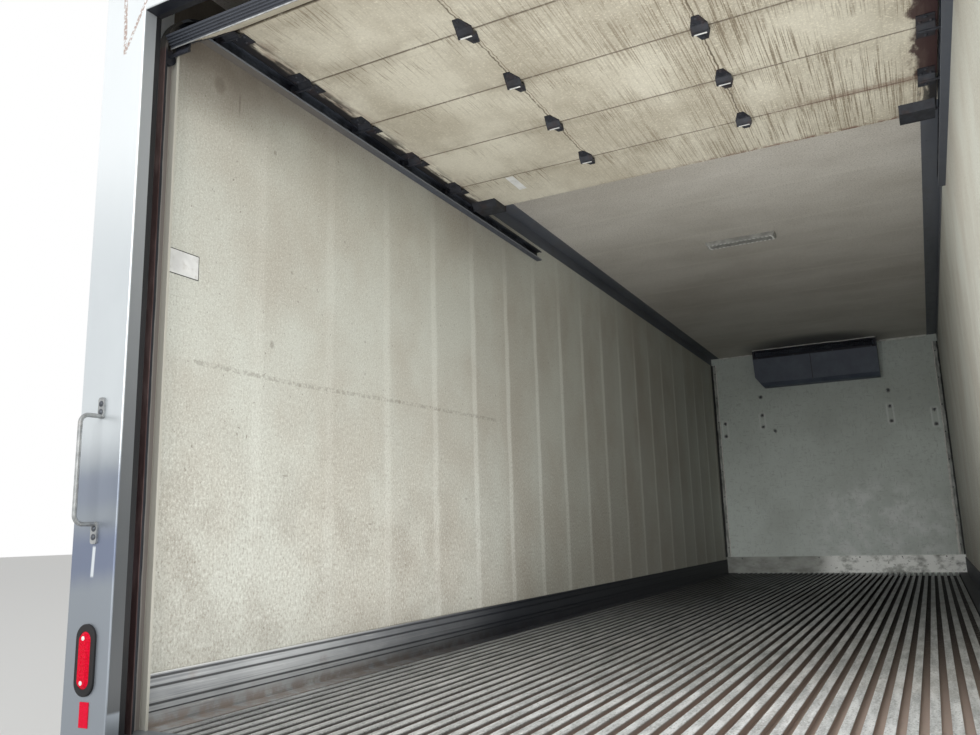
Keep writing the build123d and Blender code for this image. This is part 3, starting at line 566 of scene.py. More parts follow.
@dataclass(frozen=True)
class FrontWallFinish:
    """The front wall: cool grey-green liner with old bolt marks, white skin outside."""

    name: str = "front_wall_panel"
    clean: Colour = tone(224, 233, 228)
    soiled: Colour = tone(203, 211, 205)
    scuffed: Colour = tone(243, 248, 246)
    weave: Colour = tone(168, 175, 170)
    mark: Colour = tone(46, 48, 47)
    skin: Colour = tone(226, 228, 229)
    road_film: Colour = tone(160, 155, 145)

    def make(self, y_front: float, columns: tuple[tuple[float, tuple[float, ...]], ...]) -> Material:
        """Builds the material.

        Args:
            y_front: The inner face.
            columns: The old bolts, as the x of each column and the levels in it.

        Returns:
            The material.
        """
        paint = Paint(self.name)
        weave = paint.either(paint.noise(0.016, (3, 1, 1), 3.0), paint.noise(0.016, (1, 1, 3), 3.0))
        paint.colour = paint.mix(paint.patches(0.9, 0.35, 0.7, detail=5.0), self.clean, self.soiled)
        worn = paint.spot((0.42, 0.80), (0.85, 0.62), "xz")
        paint.lay(self.scuffed, paint.both(worn, paint.patches(0.15, 0.40, 0.66, detail=7.0)))
        paint.lay(self.weave, paint.step(weave, 0.54, 0.76), 0.5)
        paint.lay(self.weave, paint.patches(0.09, 0.62, 0.78, detail=6.0), 0.45)
        for x, levels in columns:
            for level in levels:
                smudge = paint.spot((x, level), (0.028, 0.030), "xz")
                smudge = paint.both(smudge, paint.step(weave, 0.4, 0.6))
                paint.lay(self.mark, smudge, 0.8)
            if len(levels) > 1:
                ends = ((x, levels[-1]), (x - 0.004, levels[-2]))
                slot, inner = (paint.stroke(*ends, width, "xz") for width in (0.048, 0.030))
                paint.lay(self.scuffed, paint.both(slot, paint.besides(inner)), 0.8)
        skin = paint.over(self.skin, self.road_film, paint.patches(0.12, 0.45, 0.8, (1, 1, 10)), 0.22)
        outside = paint.step(paint.y, y_front + 0.05, y_front + 0.06)
        rough = paint.scaled(outside, -0.2, 0.55)
        paint.bump(weave, 0.0010, 0.6)
        paint.lay(skin, outside)
        return paint.done(Roughness=rough)


@dataclass(frozen=True)
class DeckFinish:
    """The grooved deck: rib heads rubbed bright, with brown grit in the grooves, and painted shade that
    deepens inwards and towards the left.
    """

    name: str = "floor_deck_aluminium"
    bright: Colour = tone(248, 250, 252)
    dull: Colour = tone(192, 195, 196)
    grit: Colour = tone(62, 54, 48)
    mud: Colour = tone(178, 159, 148)
    dust: Colour = tone(150, 143, 134)
    crumb: Colour = tone(214, 204, 196)
    depth: Colour = tone(26, 29, 36)

    def make(self, z_floor: float, z_deck: float, y_rear: float) -> Material:
        """Builds the material for rib heads at z_floor and a deck plate at z_deck."""
        paint = Paint(self.name)
        scuffs = paint.noise(0.03, (1, 7, 1), 6.0)
        grain = paint.noise(0.006, (1, 2, 1), 2.0)
        metal = paint.mix(paint.step(scuffs, 0.30, 0.66), self.bright, self.dull)
        metal = paint.over(metal, self.grit, paint.step(grain, 0.56, 0.72), 0.5)
        metal = paint.over(metal, self.bright, paint.step(grain, 0.44, 0.32), 0.7)
        dusty = paint.patches(0.5, 0.48, 0.75, detail=5.0)
        metal = paint.over(metal, self.dust, dusty, 0.35)
        near = paint.step(paint.y, y_rear + 3.6, y_rear + 0.6)
        groove = paint.over(self.grit, self.mud, near, 0.85)
        groove = paint.over(groove, self.dust, paint.patches(0.012, 0.56, 0.72, detail=2.0), 0.8)
        top = paint.step(paint.z, z_floor - 0.0045, z_floor - 0.0005)
        shoulder = paint.step(paint.z, z_deck + 0.012, z_floor - 0.004)
        across = paint.across()
        crumbs = paint.both(
            paint.patches(0.018, 0.56, 0.62, detail=2.0), paint.patches(0.20, 0.40, 0.54),
            paint.step(across, 1.02, 1.06),
        )
        groove = paint.over(groove, self.crumb, crumbs, 0.9)
        paint.colour = paint.over(groove, paint.mix(0.55, metal, self.grit), shoulder)
        paint.lay(metal, top)
        # Painted shade: the deck grows darker deeper inside, most in the far left corner, and on the left.
        inward_shade = paint.step(paint.y, y_rear + 0.8, y_rear + 5.0)
        left_corner = paint.both(
            paint.step(paint.y, y_rear + 3.5, y_rear + 7.0), paint.step(paint.x, 0.5, -0.9)
        )
        paint.lay(self.depth, inward_shade, 0.70)
        paint.lay(self.depth, left_corner, 0.60)
        paint.lay(self.depth, paint.step(paint.x, 0.4, -1.0), 0.34)
        rough = paint.scaled(top, -0.34, 0.80)
        rough = paint.scaled(dusty, 0.12, rough)
        shine = paint.both(top, paint.scaled(dusty, -0.30, 0.62))
        paint.bump(scuffs, 0.0006, 0.5)
        return paint.done(Roughness=rough, Metallic=shine)


@dataclass(frozen=True)
class ScuffFinish:
    """The ribbed scuff bands: dull aluminium, rubbed in long lines, with brown dirt at the foot, painted
    shade in the grooves and towards the front, and a painted highlight along the top.
    """

    name: str = "scuff_aluminium"
    metal: Colour = tone(200, 203, 205)
    worn: Colour = tone(152, 155, 158)
    far: Colour = tone(28, 32, 43)
    line: Colour = tone(40, 41, 44)
    rubbed_and_highlight: Colour = tone(232, 233, 232)
    dirt: Colour = tone(146, 130, 118)
    grooves: tuple[Pair, ...] = ((0.138, 0.002), (0.110, 0.002), (0.062, 0.002), (0.042, 0.001))
    highlight_level: float = 0.1445

    def make(self, z_floor: float, y_rear: float) -> Material:
        """Builds the material for bands that stand on z_floor and start at y_rear."""
        paint = Paint(self.name)
        lines = paint.noise(0.004, (1, 160, 1), 2.0)
        paint.colour = paint.mix(paint.patches(0.3, 0.35, 0.7, (1, 3, 1), 5.0), self.metal, self.worn)
        paint.lay(self.line, paint.step(lines, 0.52, 0.70), 0.32)
        paint.lay(self.rubbed_and_highlight, paint.step(lines, 0.42, 0.30), 0.30)
        paint.lay(self.rubbed_and_highlight, paint.patches(0.012, 0.66, 0.76, (1, 14, 1), 3.0), 0.6)
        foot = paint.step(paint.z, z_floor + 0.05, z_floor + 0.004)
        paint.lay(self.dirt, paint.both(foot, paint.patches(0.05, 0.35, 0.6, detail=6.0)), 0.7)
        paint.lay(self.dirt, paint.patches(0.12, 0.56, 0.76, detail=6.0), 0.35)
        # Painted shade in the grooves of the ribbed profile.
        for level, half in self.grooves:
            groove = paint.window(paint.z, z_floor + level, half, half + 0.0015)
            paint.lay(self.line, groove, 0.85)
        # Painted highlight along the bands' top edge.
        top = paint.step(paint.z, z_floor + self.highlight_level, z_floor + self.highlight_level + 0.002)
        paint.lay(self.rubbed_and_highlight, top, 0.8)
        # Painted shade: the bands darken almost to black towards the front.
        paint.lay(self.far, paint.step(paint.y, y_rear - 0.1, y_rear + 2.5), 0.95)
        paint.bump(lines, 0.0005, 0.5)
        return paint.done(Roughness=0.55, Metallic=0.35)


@dataclass(frozen=True)
class KickFinish:
    """The kick plate: dull sheet on the left, rubbed bright in patches on the right."""

    name: str = "kick_plate_aluminium"
    dull: Colour = tone(160, 163, 158)
    worn: Colour = tone(124, 126, 120)
    rubbed: Colour = tone(248, 250, 246)

    def make(self) -> Material:
        """Builds the material."""
        paint = Paint(self.name)
        paint.colour = paint.mix(paint.patches(0.12, 0.35, 0.7, (2, 1, 1), 5.0), self.dull, self.worn)
        shiny = paint.patches(0.10, 0.34, 0.54, (1.6, 1, 1), 6.0)
        bright = paint.both(paint.step(paint.x, -0.3, 0.0), shiny)
        paint.lay(self.rubbed, bright, 0.9)
        paint.lay(self.worn, paint.patches(0.03, 0.60, 0.70, detail=4.0), 0.8)
        paint.bump(paint.noise(0.02, (3, 1, 1)), 0.0006, 0.5)
        return paint.done(Roughness=0.5, Metallic=0.3)


@dataclass(frozen=True)
class TrimFinish:
    """The front corner trims: grey strips with a ragged dark gap along the side wall."""

    name: str = "corner_trim_liner"
    strip: Colour = tone(196, 200, 195)
    worn: Colour = tone(140, 143, 139)
    gap: Colour = tone(20, 21, 24)

    def make(self, half_inner: float) -> Material:
        """Builds the material for trims in the corners of a space that is half_inner to each side."""
        paint = Paint(self.name)
        paint.colour = paint.mix(paint.patches(0.06, 0.40, 0.62, (1, 1, 3), 6.0), self.strip, self.worn)
        across = paint.across()
        ragged = paint.scaled(paint.noise(0.05, (1, 1, 1.5), 5.0), 0.016, across)
        paint.lay(self.gap, paint.step(ragged, half_inner - 0.010, half_inner - 0.005), 0.95)
        paint.bump(paint.noise(0.03, detail=4.0), 0.001, 0.5)
        return paint.done(Roughness=0.6)


@dataclass(frozen=True)
class DoorFinish:
    """The door sections: cream inside with water streaks, rust, soot and painted shade along the edges by
    the tracks, white outside.
    """

    name: str = "door_section_paint"
    cream: Colour = tone(205, 200, 184)
    faded: Colour = tone(176, 169, 152)
    pale: Colour = tone(232, 227, 208)
    streak: Colour = tone(112, 98, 78)
    seam: Colour = tone(92, 80, 64)
    rust: Colour = tone(104, 66, 52)
    oxide: Colour = tone(50, 26, 26)
    soot_and_shade: Colour = tone(30, 28, 30)
    skin: Colour = tone(226, 228, 228)

    def make(self, joints: list[float], row: float, half: float, z_split: float, y_top: float) -> Material:
        """Builds the material.

        Args:
            joints: The stations of the section joints, from the rear.
            row: How far the centre hinges are from the middle.
            half: Half of the door's width.
            z_split: The level between the inner and the outer face of the flat sections.
            y_top: The station of the door's top edge.

        Returns:
            The material.
        """
        paint = Paint(self.name)
        cloud = paint.noise(0.4, (1, 1.6, 1), 6.0)
        paint.colour = paint.mix(paint.step(cloud, 0.36, 0.66), self.cream, self.faded)
        grain = paint.noise(0.008, detail=3.0)
        paint.lay(self.streak, paint.step(grain, 0.52, 0.76), 0.22)
        paint.lay(self.pale, paint.step(grain, 0.46, 0.30), 0.35)
        pitch = joints[1] - joints[0]
        phase = paint.repeat(paint.y, joints[0], pitch)
        rising = paint.either(paint.step(phase, 0.75, 0.05), paint.both(paint.step(phase, 0.6, 1.0), 0.6))
        stained = paint.both(
            paint.patches(0.15, 0.44, 0.62, (2.4, 1, 1), 6.0),
            paint.either(paint.step(phase, 0.72, 1.0), paint.step(phase, 0.26, 0.0)),
        )
        paint.lay(self.streak, stained, 0.34)
        runs = paint.patches(0.0055, 0.55, 0.66, (1, 34, 1), 2.0)
        thick = paint.patches(0.009, 0.62, 0.70, (1, 26, 1), 3.0)
        wet = paint.patches(0.35, 0.36, 0.60, (1, 1.3, 1), 3.0)
        paint.lay(self.streak, paint.both(runs, wet, rising), 0.75)
        paint.lay(self.seam, paint.both(thick, wet, rising), 0.75)
        kerbward = paint.step(paint.x, -0.8, 0.6)
        long_runs = paint.patches(0.0048, 0.50, 0.62, (1, 80, 1), 2.0)
        damp = paint.patches(0.28, 0.32, 0.52, (1, 1.4, 1), 3.0)
        paint.lay(self.streak, paint.both(long_runs, damp, kerbward), 0.80)
        paint.lay(self.pale, paint.both(paint.step(grain, 0.46, 0.34), kerbward), 0.35)
        dots = paint.patches(0.018, 0.22, 0.46, detail=3.0)
        seams = paint.either(*[paint.window(paint.y, y_joint, 0.0018, 0.0055) for y_joint in joints])
        paint.lay(self.seam, paint.both(seams, dots), 0.85)
        across = paint.across()
        wander = paint.scaled(paint.noise(0.06, detail=4.0), 0.024, across)
        hinged = paint.step(paint.y, joints[-1] - 0.02, joints[-1] - 0.06)
        last = paint.both(
            paint.window(paint.y, joints[-1] - 0.01, 0.004, 0.035), paint.step(paint.x, 0.3, 0.9)
        )
        paint.lay(self.rust, last, 0.4)
        crack = paint.both(paint.window(wander, row + 0.008, 0.0014, 0.0030), hinged, dots)
        paint.lay(self.seam, crack, 0.9)
        beside = paint.both(paint.window(wander, row - 0.004, 0.0008, 0.0022), hinged, dots)
        paint.lay(self.streak, beside, 0.8)
        flakes = paint.patches(0.010, 0.48, 0.58, (1, 18, 1), 4.0)
        shore = paint.step(wander, half - 0.125, half - 0.02)
        paint.lay(self.pale, paint.both(shore, flakes), 0.5)
        bleed = paint.patches(0.08, 0.44, 0.62, (1, 2, 1), 6.0)
        paint.lay(self.rust, paint.both(paint.step(wander, half - 0.13, half), bleed), 0.6)
        # Soot patches near the edges, and painted shade as a solid black strip along the outermost edges
        # beside the tracks.
        black = paint.patches(0.02, 0.44, 0.56, (1, 7, 1), 4.0)
        paint.lay(self.soot_and_shade, paint.both(paint.step(wander, half - 0.085, half - 0.03), black), 0.85)
        paint.lay(self.soot_and_shade, paint.step(wander, half - 0.032, half - 0.014))
        kerb = paint.both(
            paint.step(paint.scaled(bleed, 0.03, paint.x), half - 0.085, half - 0.055),
            paint.step(paint.y, joints[4] + 0.03, joints[4] - 0.05),
        )
        paint.lay(self.oxide, kerb, 0.95)
        flaked = paint.patches(0.03, 0.38, 0.58, detail=6.0)
        rim = paint.both(paint.window(paint.y, y_top, 0.006, 0.034), flaked)
        paint.lay(self.rust, paint.both(rim, paint.step(paint.x, -0.6, 0.6)), 0.85)
        above = paint.both(
            paint.step(paint.z, z_split - 0.002, z_split + 0.002),
            paint.step(paint.y, joints[0] - 0.01, joints[0]),
        )
        dusty = paint.over(self.skin, self.faded, paint.step(cloud, 0.3, 0.7), 0.3)
        paint.bump(paint.noise(0.02, (1, 8, 1), 3.0), 0.0006, 0.5)
        paint.lay(dusty, above)
        return paint.done(Roughness=0.55)


@dataclass(frozen=True)
class PostFinish:
    """The rear frame: brushed stainless steel with a painted highlight near the top, a road film that
    thickens downwards and is partly a painted reflection of the ground, painted bluish reflections, and
    grey returns with painted shade.
    """

    name: str = "rear_frame_stainless"
    bright: Colour = tone(231, 236, 238)
    middle: Colour = tone(206, 212, 215)
    film: Colour = tone(148, 155, 163)
    sheen: Colour = tone(112, 122, 148)
    drip: Colour = tone(230, 236, 240)
    return_high: Colour = tone(150, 154, 157)
    return_low: Colour = tone(79, 82, 85)
    shadow: Colour = tone(24, 27, 34)
    rust: Colour = tone(150, 122, 108)
    outline: tuple[Pair, ...] = ((-1.209, 2.62), (-1.197, 2.405), (-1.108, 2.57))
    sheens: tuple[tuple[float, float, float], ...] = ((1.035, 0.060, 0.35), (0.845, 0.080, 0.75))

    def make(self, half_opening: float, y_rear: float, z_low: float, z_head: float) -> Material:
        """Builds the material.

        Args:
            half_opening: Half of the doorway's width.
            y_rear: The frame's rear face.
            z_low: Its foot.
            z_head: The doorway's head.

        Returns:
            The material.
        """
        paint = Paint(self.name)
        brush = paint.noise(0.004, (1, 1, 60), 2.0)
        cloud = paint.noise(0.35, (1, 1, 2), 4.0)
        height = paint.scaled(cloud, 0.12, paint.z)
        # Painted highlight: the steel is lighter above about 2 m.
        paint.colour = paint.over(self.bright, self.middle, paint.step(height, 2.20, 1.75))
        head = paint.both(
            paint.step(paint.z, z_head, z_head + 0.02),
            paint.step(paint.across(), half_opening, half_opening - 0.3),
        )
        paint.lay(self.film, head, 0.7)
        # Road film below about 1.2 m, partly a painted reflection of the dark ground.
        paint.lay(self.film, paint.step(height, 1.28, 1.10))
        # Painted bluish reflections in two bands low down.
        for level, reach, share in self.sheens:
            paint.lay(self.sheen, paint.window(height, level + 0.06, reach / 3, reach), share)
        paint.lay(self.film, paint.step(cloud, 0.5, 0.8), 0.15)
        start, tip, end = self.outline
        edges = paint.either(
            paint.stroke(start, tip, 0.010, "xz"), paint.stroke(tip, end, 0.008, "xz")
        )
        ragged = paint.patches(0.010, 0.38, 0.54)
        on_face = paint.step(paint.y, y_rear + 0.006, y_rear + 0.001)
        stains = paint.both(edges, ragged, on_face)
        paint.lay(self.rust, stains, 0.85)
        drip = paint.both(paint.stroke((-1.2, 0.865), (-1.203, 0.79), 0.008, "xz"), on_face)
        paint.lay(self.drip, drip, 0.9)
        across = paint.across()
        behind = paint.step(paint.y, y_rear + 0.003, y_rear + 0.006)
        inner_side = paint.both(
            paint.step(across, half_opening + 0.002, half_opening + 0.0005), behind,
            paint.step(paint.z, z_low + 0.3, z_low + 0.31),
            paint.step(paint.z, z_head + 0.3, z_head + 0.29),
        )
        # Grey return faces, with painted shade that deepens downwards.
        side_grey_and_shade = paint.mix(paint.step(paint.z, 2.3, 0.6), self.return_high, self.return_low)
        paint.lay(side_grey_and_shade, inner_side)
        under = paint.both(paint.step(paint.z, z_head - 0.002, z_head - 0.001), inner_side)
        paint.lay(self.shadow, under)
        shine = paint.scaled(paint.either(inner_side, stains, head), -0.6, 0.66)
        rough = paint.scaled(brush, 0.16, 0.28)
        paint.bump(brush, 0.00015, 0.35)
        paint.bump(paint.noise(0.6, detail=1.0), 0.002, 0.25)
        return paint.done(Roughness=rough, Metallic=shine)


@dataclass(frozen=True)
class TrackFinish:
    """The door tracks: greasy, with painted shade inside and under the lower flange, a paler lip, and rust
    in the upright run.
    """

    name: str = "door_track_galvanised"
    lip: Colour = tone(126, 131, 138)
    grease_and_shade: Colour = tone(26, 29, 37)
    dull: Colour = tone(62, 67, 76)
    sooty: Colour = tone(104, 100, 95)
    underside_shade: Colour = tone(76, 80, 88)
    liner: Colour = tone(184, 182, 172)
    mauve: Colour = tone(104, 84, 82)
    rust: Colour = tone(66, 44, 42)
    glint: Colour = tone(214, 210, 204)
    sealant: Colour = tone(134, 127, 122)

    def make(
        self, x_lip: float, y_track: float, z_track: float, z_turn: float, half_depth: float
    ) -> Material:
        """Builds the material.

        Args:
            x_lip: How far the channel's lips are from the middle of the body.
            y_track: The centre line of the upright run.
            z_track: The centre line of the level run.
            z_turn: Where the upright run starts to bend.
            half_depth: Half of the channel, from its centre line to a flange's outer face.

        Returns:
            The material.
        """
        paint = Paint(self.name)
        cloud = paint.noise(0.14, (1, 1, 3), 6.0)
        across = paint.across()
        on_lip = paint.step(across, x_lip + 0.005, x_lip + 0.002)
        # Grease and painted shade inside the level run's channel.
        level = paint.mix(paint.step(cloud, 0.4, 0.6), self.grease_and_shade, self.dull)
        lower = paint.step(paint.z, z_track, z_track - 0.004)
        level = paint.over(level, self.lip, paint.both(on_lip, lower))
        # Painted shade on the lower flange's underside, with soot towards the rear on the left.
        under = paint.step(paint.z, z_track - half_depth + 0.0012, z_track - half_depth + 0.0004)
        rearward = paint.both(
            paint.step(paint.y, y_track + 1.6, y_track + 0.4), paint.step(paint.x, 0.1, -0.1)
        )
        level = paint.over(level, paint.mix(rearward, self.underside_shade, self.sooty), under)
        aft = paint.maths("SUBTRACT", paint.y, y_track)
        ragged = paint.scaled(paint.noise(0.05, (1, 1, 2), 5.0), 0.006, aft)
        column = paint.mix(paint.step(cloud, 0.35, 0.55), self.mauve, self.rust)
        # Grease and painted shade over the upright run's channel, forward of its rear face.
        column = paint.over(column, self.grease_and_shade, paint.step(aft, 0.002 - half_depth, 0.004 - half_depth))
        column = paint.over(column, self.sealant, paint.step(ragged, 0.013, 0.015))
        column = paint.over(column, self.glint, paint.both(paint.window(ragged, 0.013, 0.001, 0.002), 0.40))
        front = paint.either(
            paint.step(aft, half_depth - 0.0045, half_depth - 0.0035),
            paint.both(on_lip, paint.step(aft, 0.0, 0.005)),
        )
        column = paint.over(column, self.liner, front)
        paint.colour = paint.over(level, column, paint.step(paint.z, z_turn + 0.03, z_turn))
        rough = paint.scaled(cloud, 0.35, 0.42)
        paint.bump(cloud, 0.0008, 0.5)
        return paint.done(Roughness=rough, Metallic=0.12)


@dataclass(frozen=True)
class EvaporatorFinish:
    """The evaporator casing: charcoal sheet, with painted shade as a near-black band at the air outlet."""

    name: str = "evaporator_casing"
    sheet: Colour = tone(78, 87, 104)
    sheen: Colour = tone(98, 107, 122)
    band: Colour = tone(10, 14, 34)
    dust: Colour = tone(112, 114, 114)

    def make(self, z_band: float, y_band: float) -> Material:
        """Builds the material for an outlet band above z_band and rearward of y_band."""
        paint = Paint(self.name)
        cloud = paint.noise(0.3, detail=5.0)
        paint.colour = paint.mix(paint.step(cloud, 0.35, 0.7), self.sheet, self.sheen)
        specks = paint.step(paint.noise(0.01, detail=3.0), 0.62, 0.78)
        paint.lay(self.dust, specks, 0.25)
        # Painted shade: the air outlet behind the louvres is near-black.
        outlet = paint.both(
            paint.step(paint.z, z_band - 0.002, z_band + 0.002), paint.step(paint.y, y_band + 0.04, y_band)
        )
        paint.lay(self.band, outlet)
        paint.bump(paint.noise(0.004, detail=2.0), 0.0003, 0.5)
        rough = paint.scaled(cloud, 0.25, 0.42)
        return paint.done(Roughness=rough)


@dataclass(frozen=True)
class CoilFinish:
    """The condenser coil: thin upright fins with dust blown into them, and painted shade between the fins.
    """

    name: str = "condenser_coil_fins"
    pitch: float = 0.006
    fin: Colour = tone(150, 152, 152)
    gap: Colour = tone(32, 32, 33)
    dust: Colour = tone(118, 110, 98)

    def make(self) -> Material:
        """Builds the material."""
        paint = Paint(self.name)
        phase = paint.repeat(paint.x, 0.0, self.pitch)
        fins = paint.window(phase, 0.5, 0.18, 0.12)
        # Painted shade in the gaps between the fins.
        paint.colour = paint.mix(fins, self.gap, self.fin)
        dust = paint.step(paint.noise(0.12, detail=6.0), 0.45, 0.7)
        paint.lay(self.dust, dust, 0.45)
        paint.bump(fins, 0.002, 0.8)
        rough = paint.scaled(dust, 0.3, 0.45)
        return paint.done(Roughness=rough, Metallic=0.4)


@dataclass(frozen=True)
class LensFinish:
    """A moulded lamp lens with rows of small optics behind a clear face."""

    name: str
    deep: Colour
    bright: Colour
    optic: float = 0.011

    def make(self) -> Material:
        """Builds the material."""
        paint = Paint(self.name)
        cells = paint.cells(self.optic)
        haze = paint.noise(0.03, detail=4.0)
        paint.colour = paint.mix(paint.step(cells, 0.7, 0.1), self.deep, self.bright)
        rough = paint.scaled(haze, 0.12, 0.08)
        paint.bump(cells, 0.0004, 0.35)
        return paint.done(Roughness=rough, Specular_IOR_Level=0.12)


class Finishes:
    """The materials that several sub-assemblies share, each made once."""

    def __init__(self) -> None:
        """Builds the shared materials."""
        self.aluminium = Coating(
            "rail_aluminium", tone(190, 193, 195), tone(162, 165, 167), tone(112, 104, 92),
            roughness=(0.3, 0.55), metallic=0.8, brushed=(1, 20, 1), grain_depth=0.0002,
        ).make()
        self.corner_cap = Coating(
            "corner_aluminium", tone(192, 195, 197), tone(166, 169, 171), tone(116, 108, 96),
            roughness=(0.3, 0.55), metallic=0.75, brushed=(1, 1, 14), grain_depth=0.0002,
        ).make()
        self.door_rail = Coating(
            "door_rail_aluminium", tone(64, 68, 76), tone(46, 50, 58), tone(32, 32, 35),
            mottle=0.3, soiling=0.6, roughness=(0.5, 0.7), metallic=0.1, brushed=(12, 1, 1),
        ).make()
        self.track_steel = Coating(
            "track_hardware_black", tone(44, 47, 55), tone(28, 30, 37), tone(70, 48, 40),
            mottle=0.04, soiling=0.45, soil_size=0.05, roughness=(0.45, 0.7), metallic=0.2,
        ).make()
        self.galvanised = Coating(
            "galvanised_steel", tone(176, 178, 178), tone(140, 143, 144), tone(104, 74, 52),
            mottle=0.03, soiling=0.35, soil_size=0.05, roughness=(0.4, 0.65), metallic=0.65,
        ).make()
        self.dark_steel = Coating(
            "hardware_steel", tone(96, 100, 106), tone(66, 70, 76), tone(92, 58, 40),
            mottle=0.04, soiling=0.55, soil_size=0.05, roughness=(0.45, 0.7), metallic=0.5,
        ).make()
        self.underframe = Coating(
            "underframe_paint", tone(58, 60, 62), tone(40, 41, 43), tone(96, 62, 44),
            soiling=0.5, roughness=(0.5, 0.8), metallic=0.1, grain_depth=0.0005,
        ).make()
        self.undercoat = Coating(
            "floor_core_undercoat", tone(72, 70, 64), tone(54, 52, 48), tone(104, 96, 82),
            mottle=0.4, soiling=0.5, roughness=(0.7, 0.9), grain=0.012, grain_depth=0.0012,
        ).make()
        self.rubber = Coating(
            "black_rubber", tone(18, 19, 23), tone(12, 13, 16), tone(56, 50, 49),
            soiling=0.30, roughness=(0.6, 0.85), grain=0.003, grain_depth=0.0004,
        ).make()
        self.cove = Coating(
            "ceiling_angle_coating", tone(106, 110, 118), tone(84, 88, 96), tone(112, 108, 102),
            soiling=0.3, roughness=(0.45, 0.65), metallic=0.15, brushed=(1, 10, 1),
        ).make()
        self.gelcoat = Coating(
            "unit_gelcoat", tone(232, 233, 231), tone(220, 221, 218), tone(168, 160, 146),
            mottle=0.5, soiling=0.28, soil_size=0.3, roughness=(0.28, 0.45), coat=0.25,
        ).make()
        self.grille = Coating(
            "grille_plastic", tone(42, 43, 45), tone(30, 31, 33), tone(98, 92, 82),
            soiling=0.3, roughness=(0.45, 0.65), grain=0.002,
        ).make()
        self.fan = Coating(
            "fan_aluminium", tone(186, 188, 190), tone(154, 156, 158), tone(92, 84, 74),
            mottle=0.08, soiling=0.4, soil_size=0.08, roughness=(0.35, 0.6), metallic=0.75,
        ).make()
        self.engine = Coating(
            "engine_paint", tone(78, 82, 80), tone(60, 63, 62), tone(40, 34, 28),
            soiling=0.6, soil_size=0.1, roughness=(0.4, 0.7), metallic=0.1, grain_depth=0.0008,
        ).make()
        self.spring = Coating(
            "spring_steel", tone(74, 74, 76), tone(50, 50, 52), tone(40, 34, 30),
            mottle=0.05, soiling=0.4, roughness=(0.35, 0.6), metallic=0.7,
        ).make()
        self.sealant = Coating(
            "white_sealant", tone(250, 250, 246), tone(226, 226, 220), tone(150, 146, 136),
            mottle=0.05, soiling=0.35, soil_size=0.05, roughness=(0.5, 0.7), grain_depth=0.0008,
        ).make()
        self.label = Coating(
            "blank_label", tone(226, 227, 226), tone(208, 209, 208), tone(150, 142, 128),
            mottle=0.05, soiling=0.35, soil_size=0.03, roughness=(0.3, 0.45), grain_depth=0.0001,
        ).make()
        self.diode = Coating(
            "light_diode", tone(252, 252, 250), tone(240, 240, 238), tone(196, 194, 188),
            mottle=0.02, soiling=0.2, roughness=(0.25, 0.4), grain_depth=0.0001,
        ).make()
        self.red_lens = LensFinish("red_lens", tone(196, 2, 34), tone(222, 4, 52), 0.005).make()
        self.amber_lens = LensFinish("amber_lens", tone(190, 84, 8), tone(246, 148, 30)).make()
        self.reflector = LensFinish("red_reflector", tone(202, 4, 42), tone(220, 8, 56), 0.004).make()
        self.lamp_lens = Coating(
            "ceiling_lamp_lens", tone(168, 168, 164), tone(132, 132, 128), tone(112, 108, 100),
            mottle=0.05, soiling=0.25, roughness=(0.3, 0.45), grain=0.002,
        ).make()


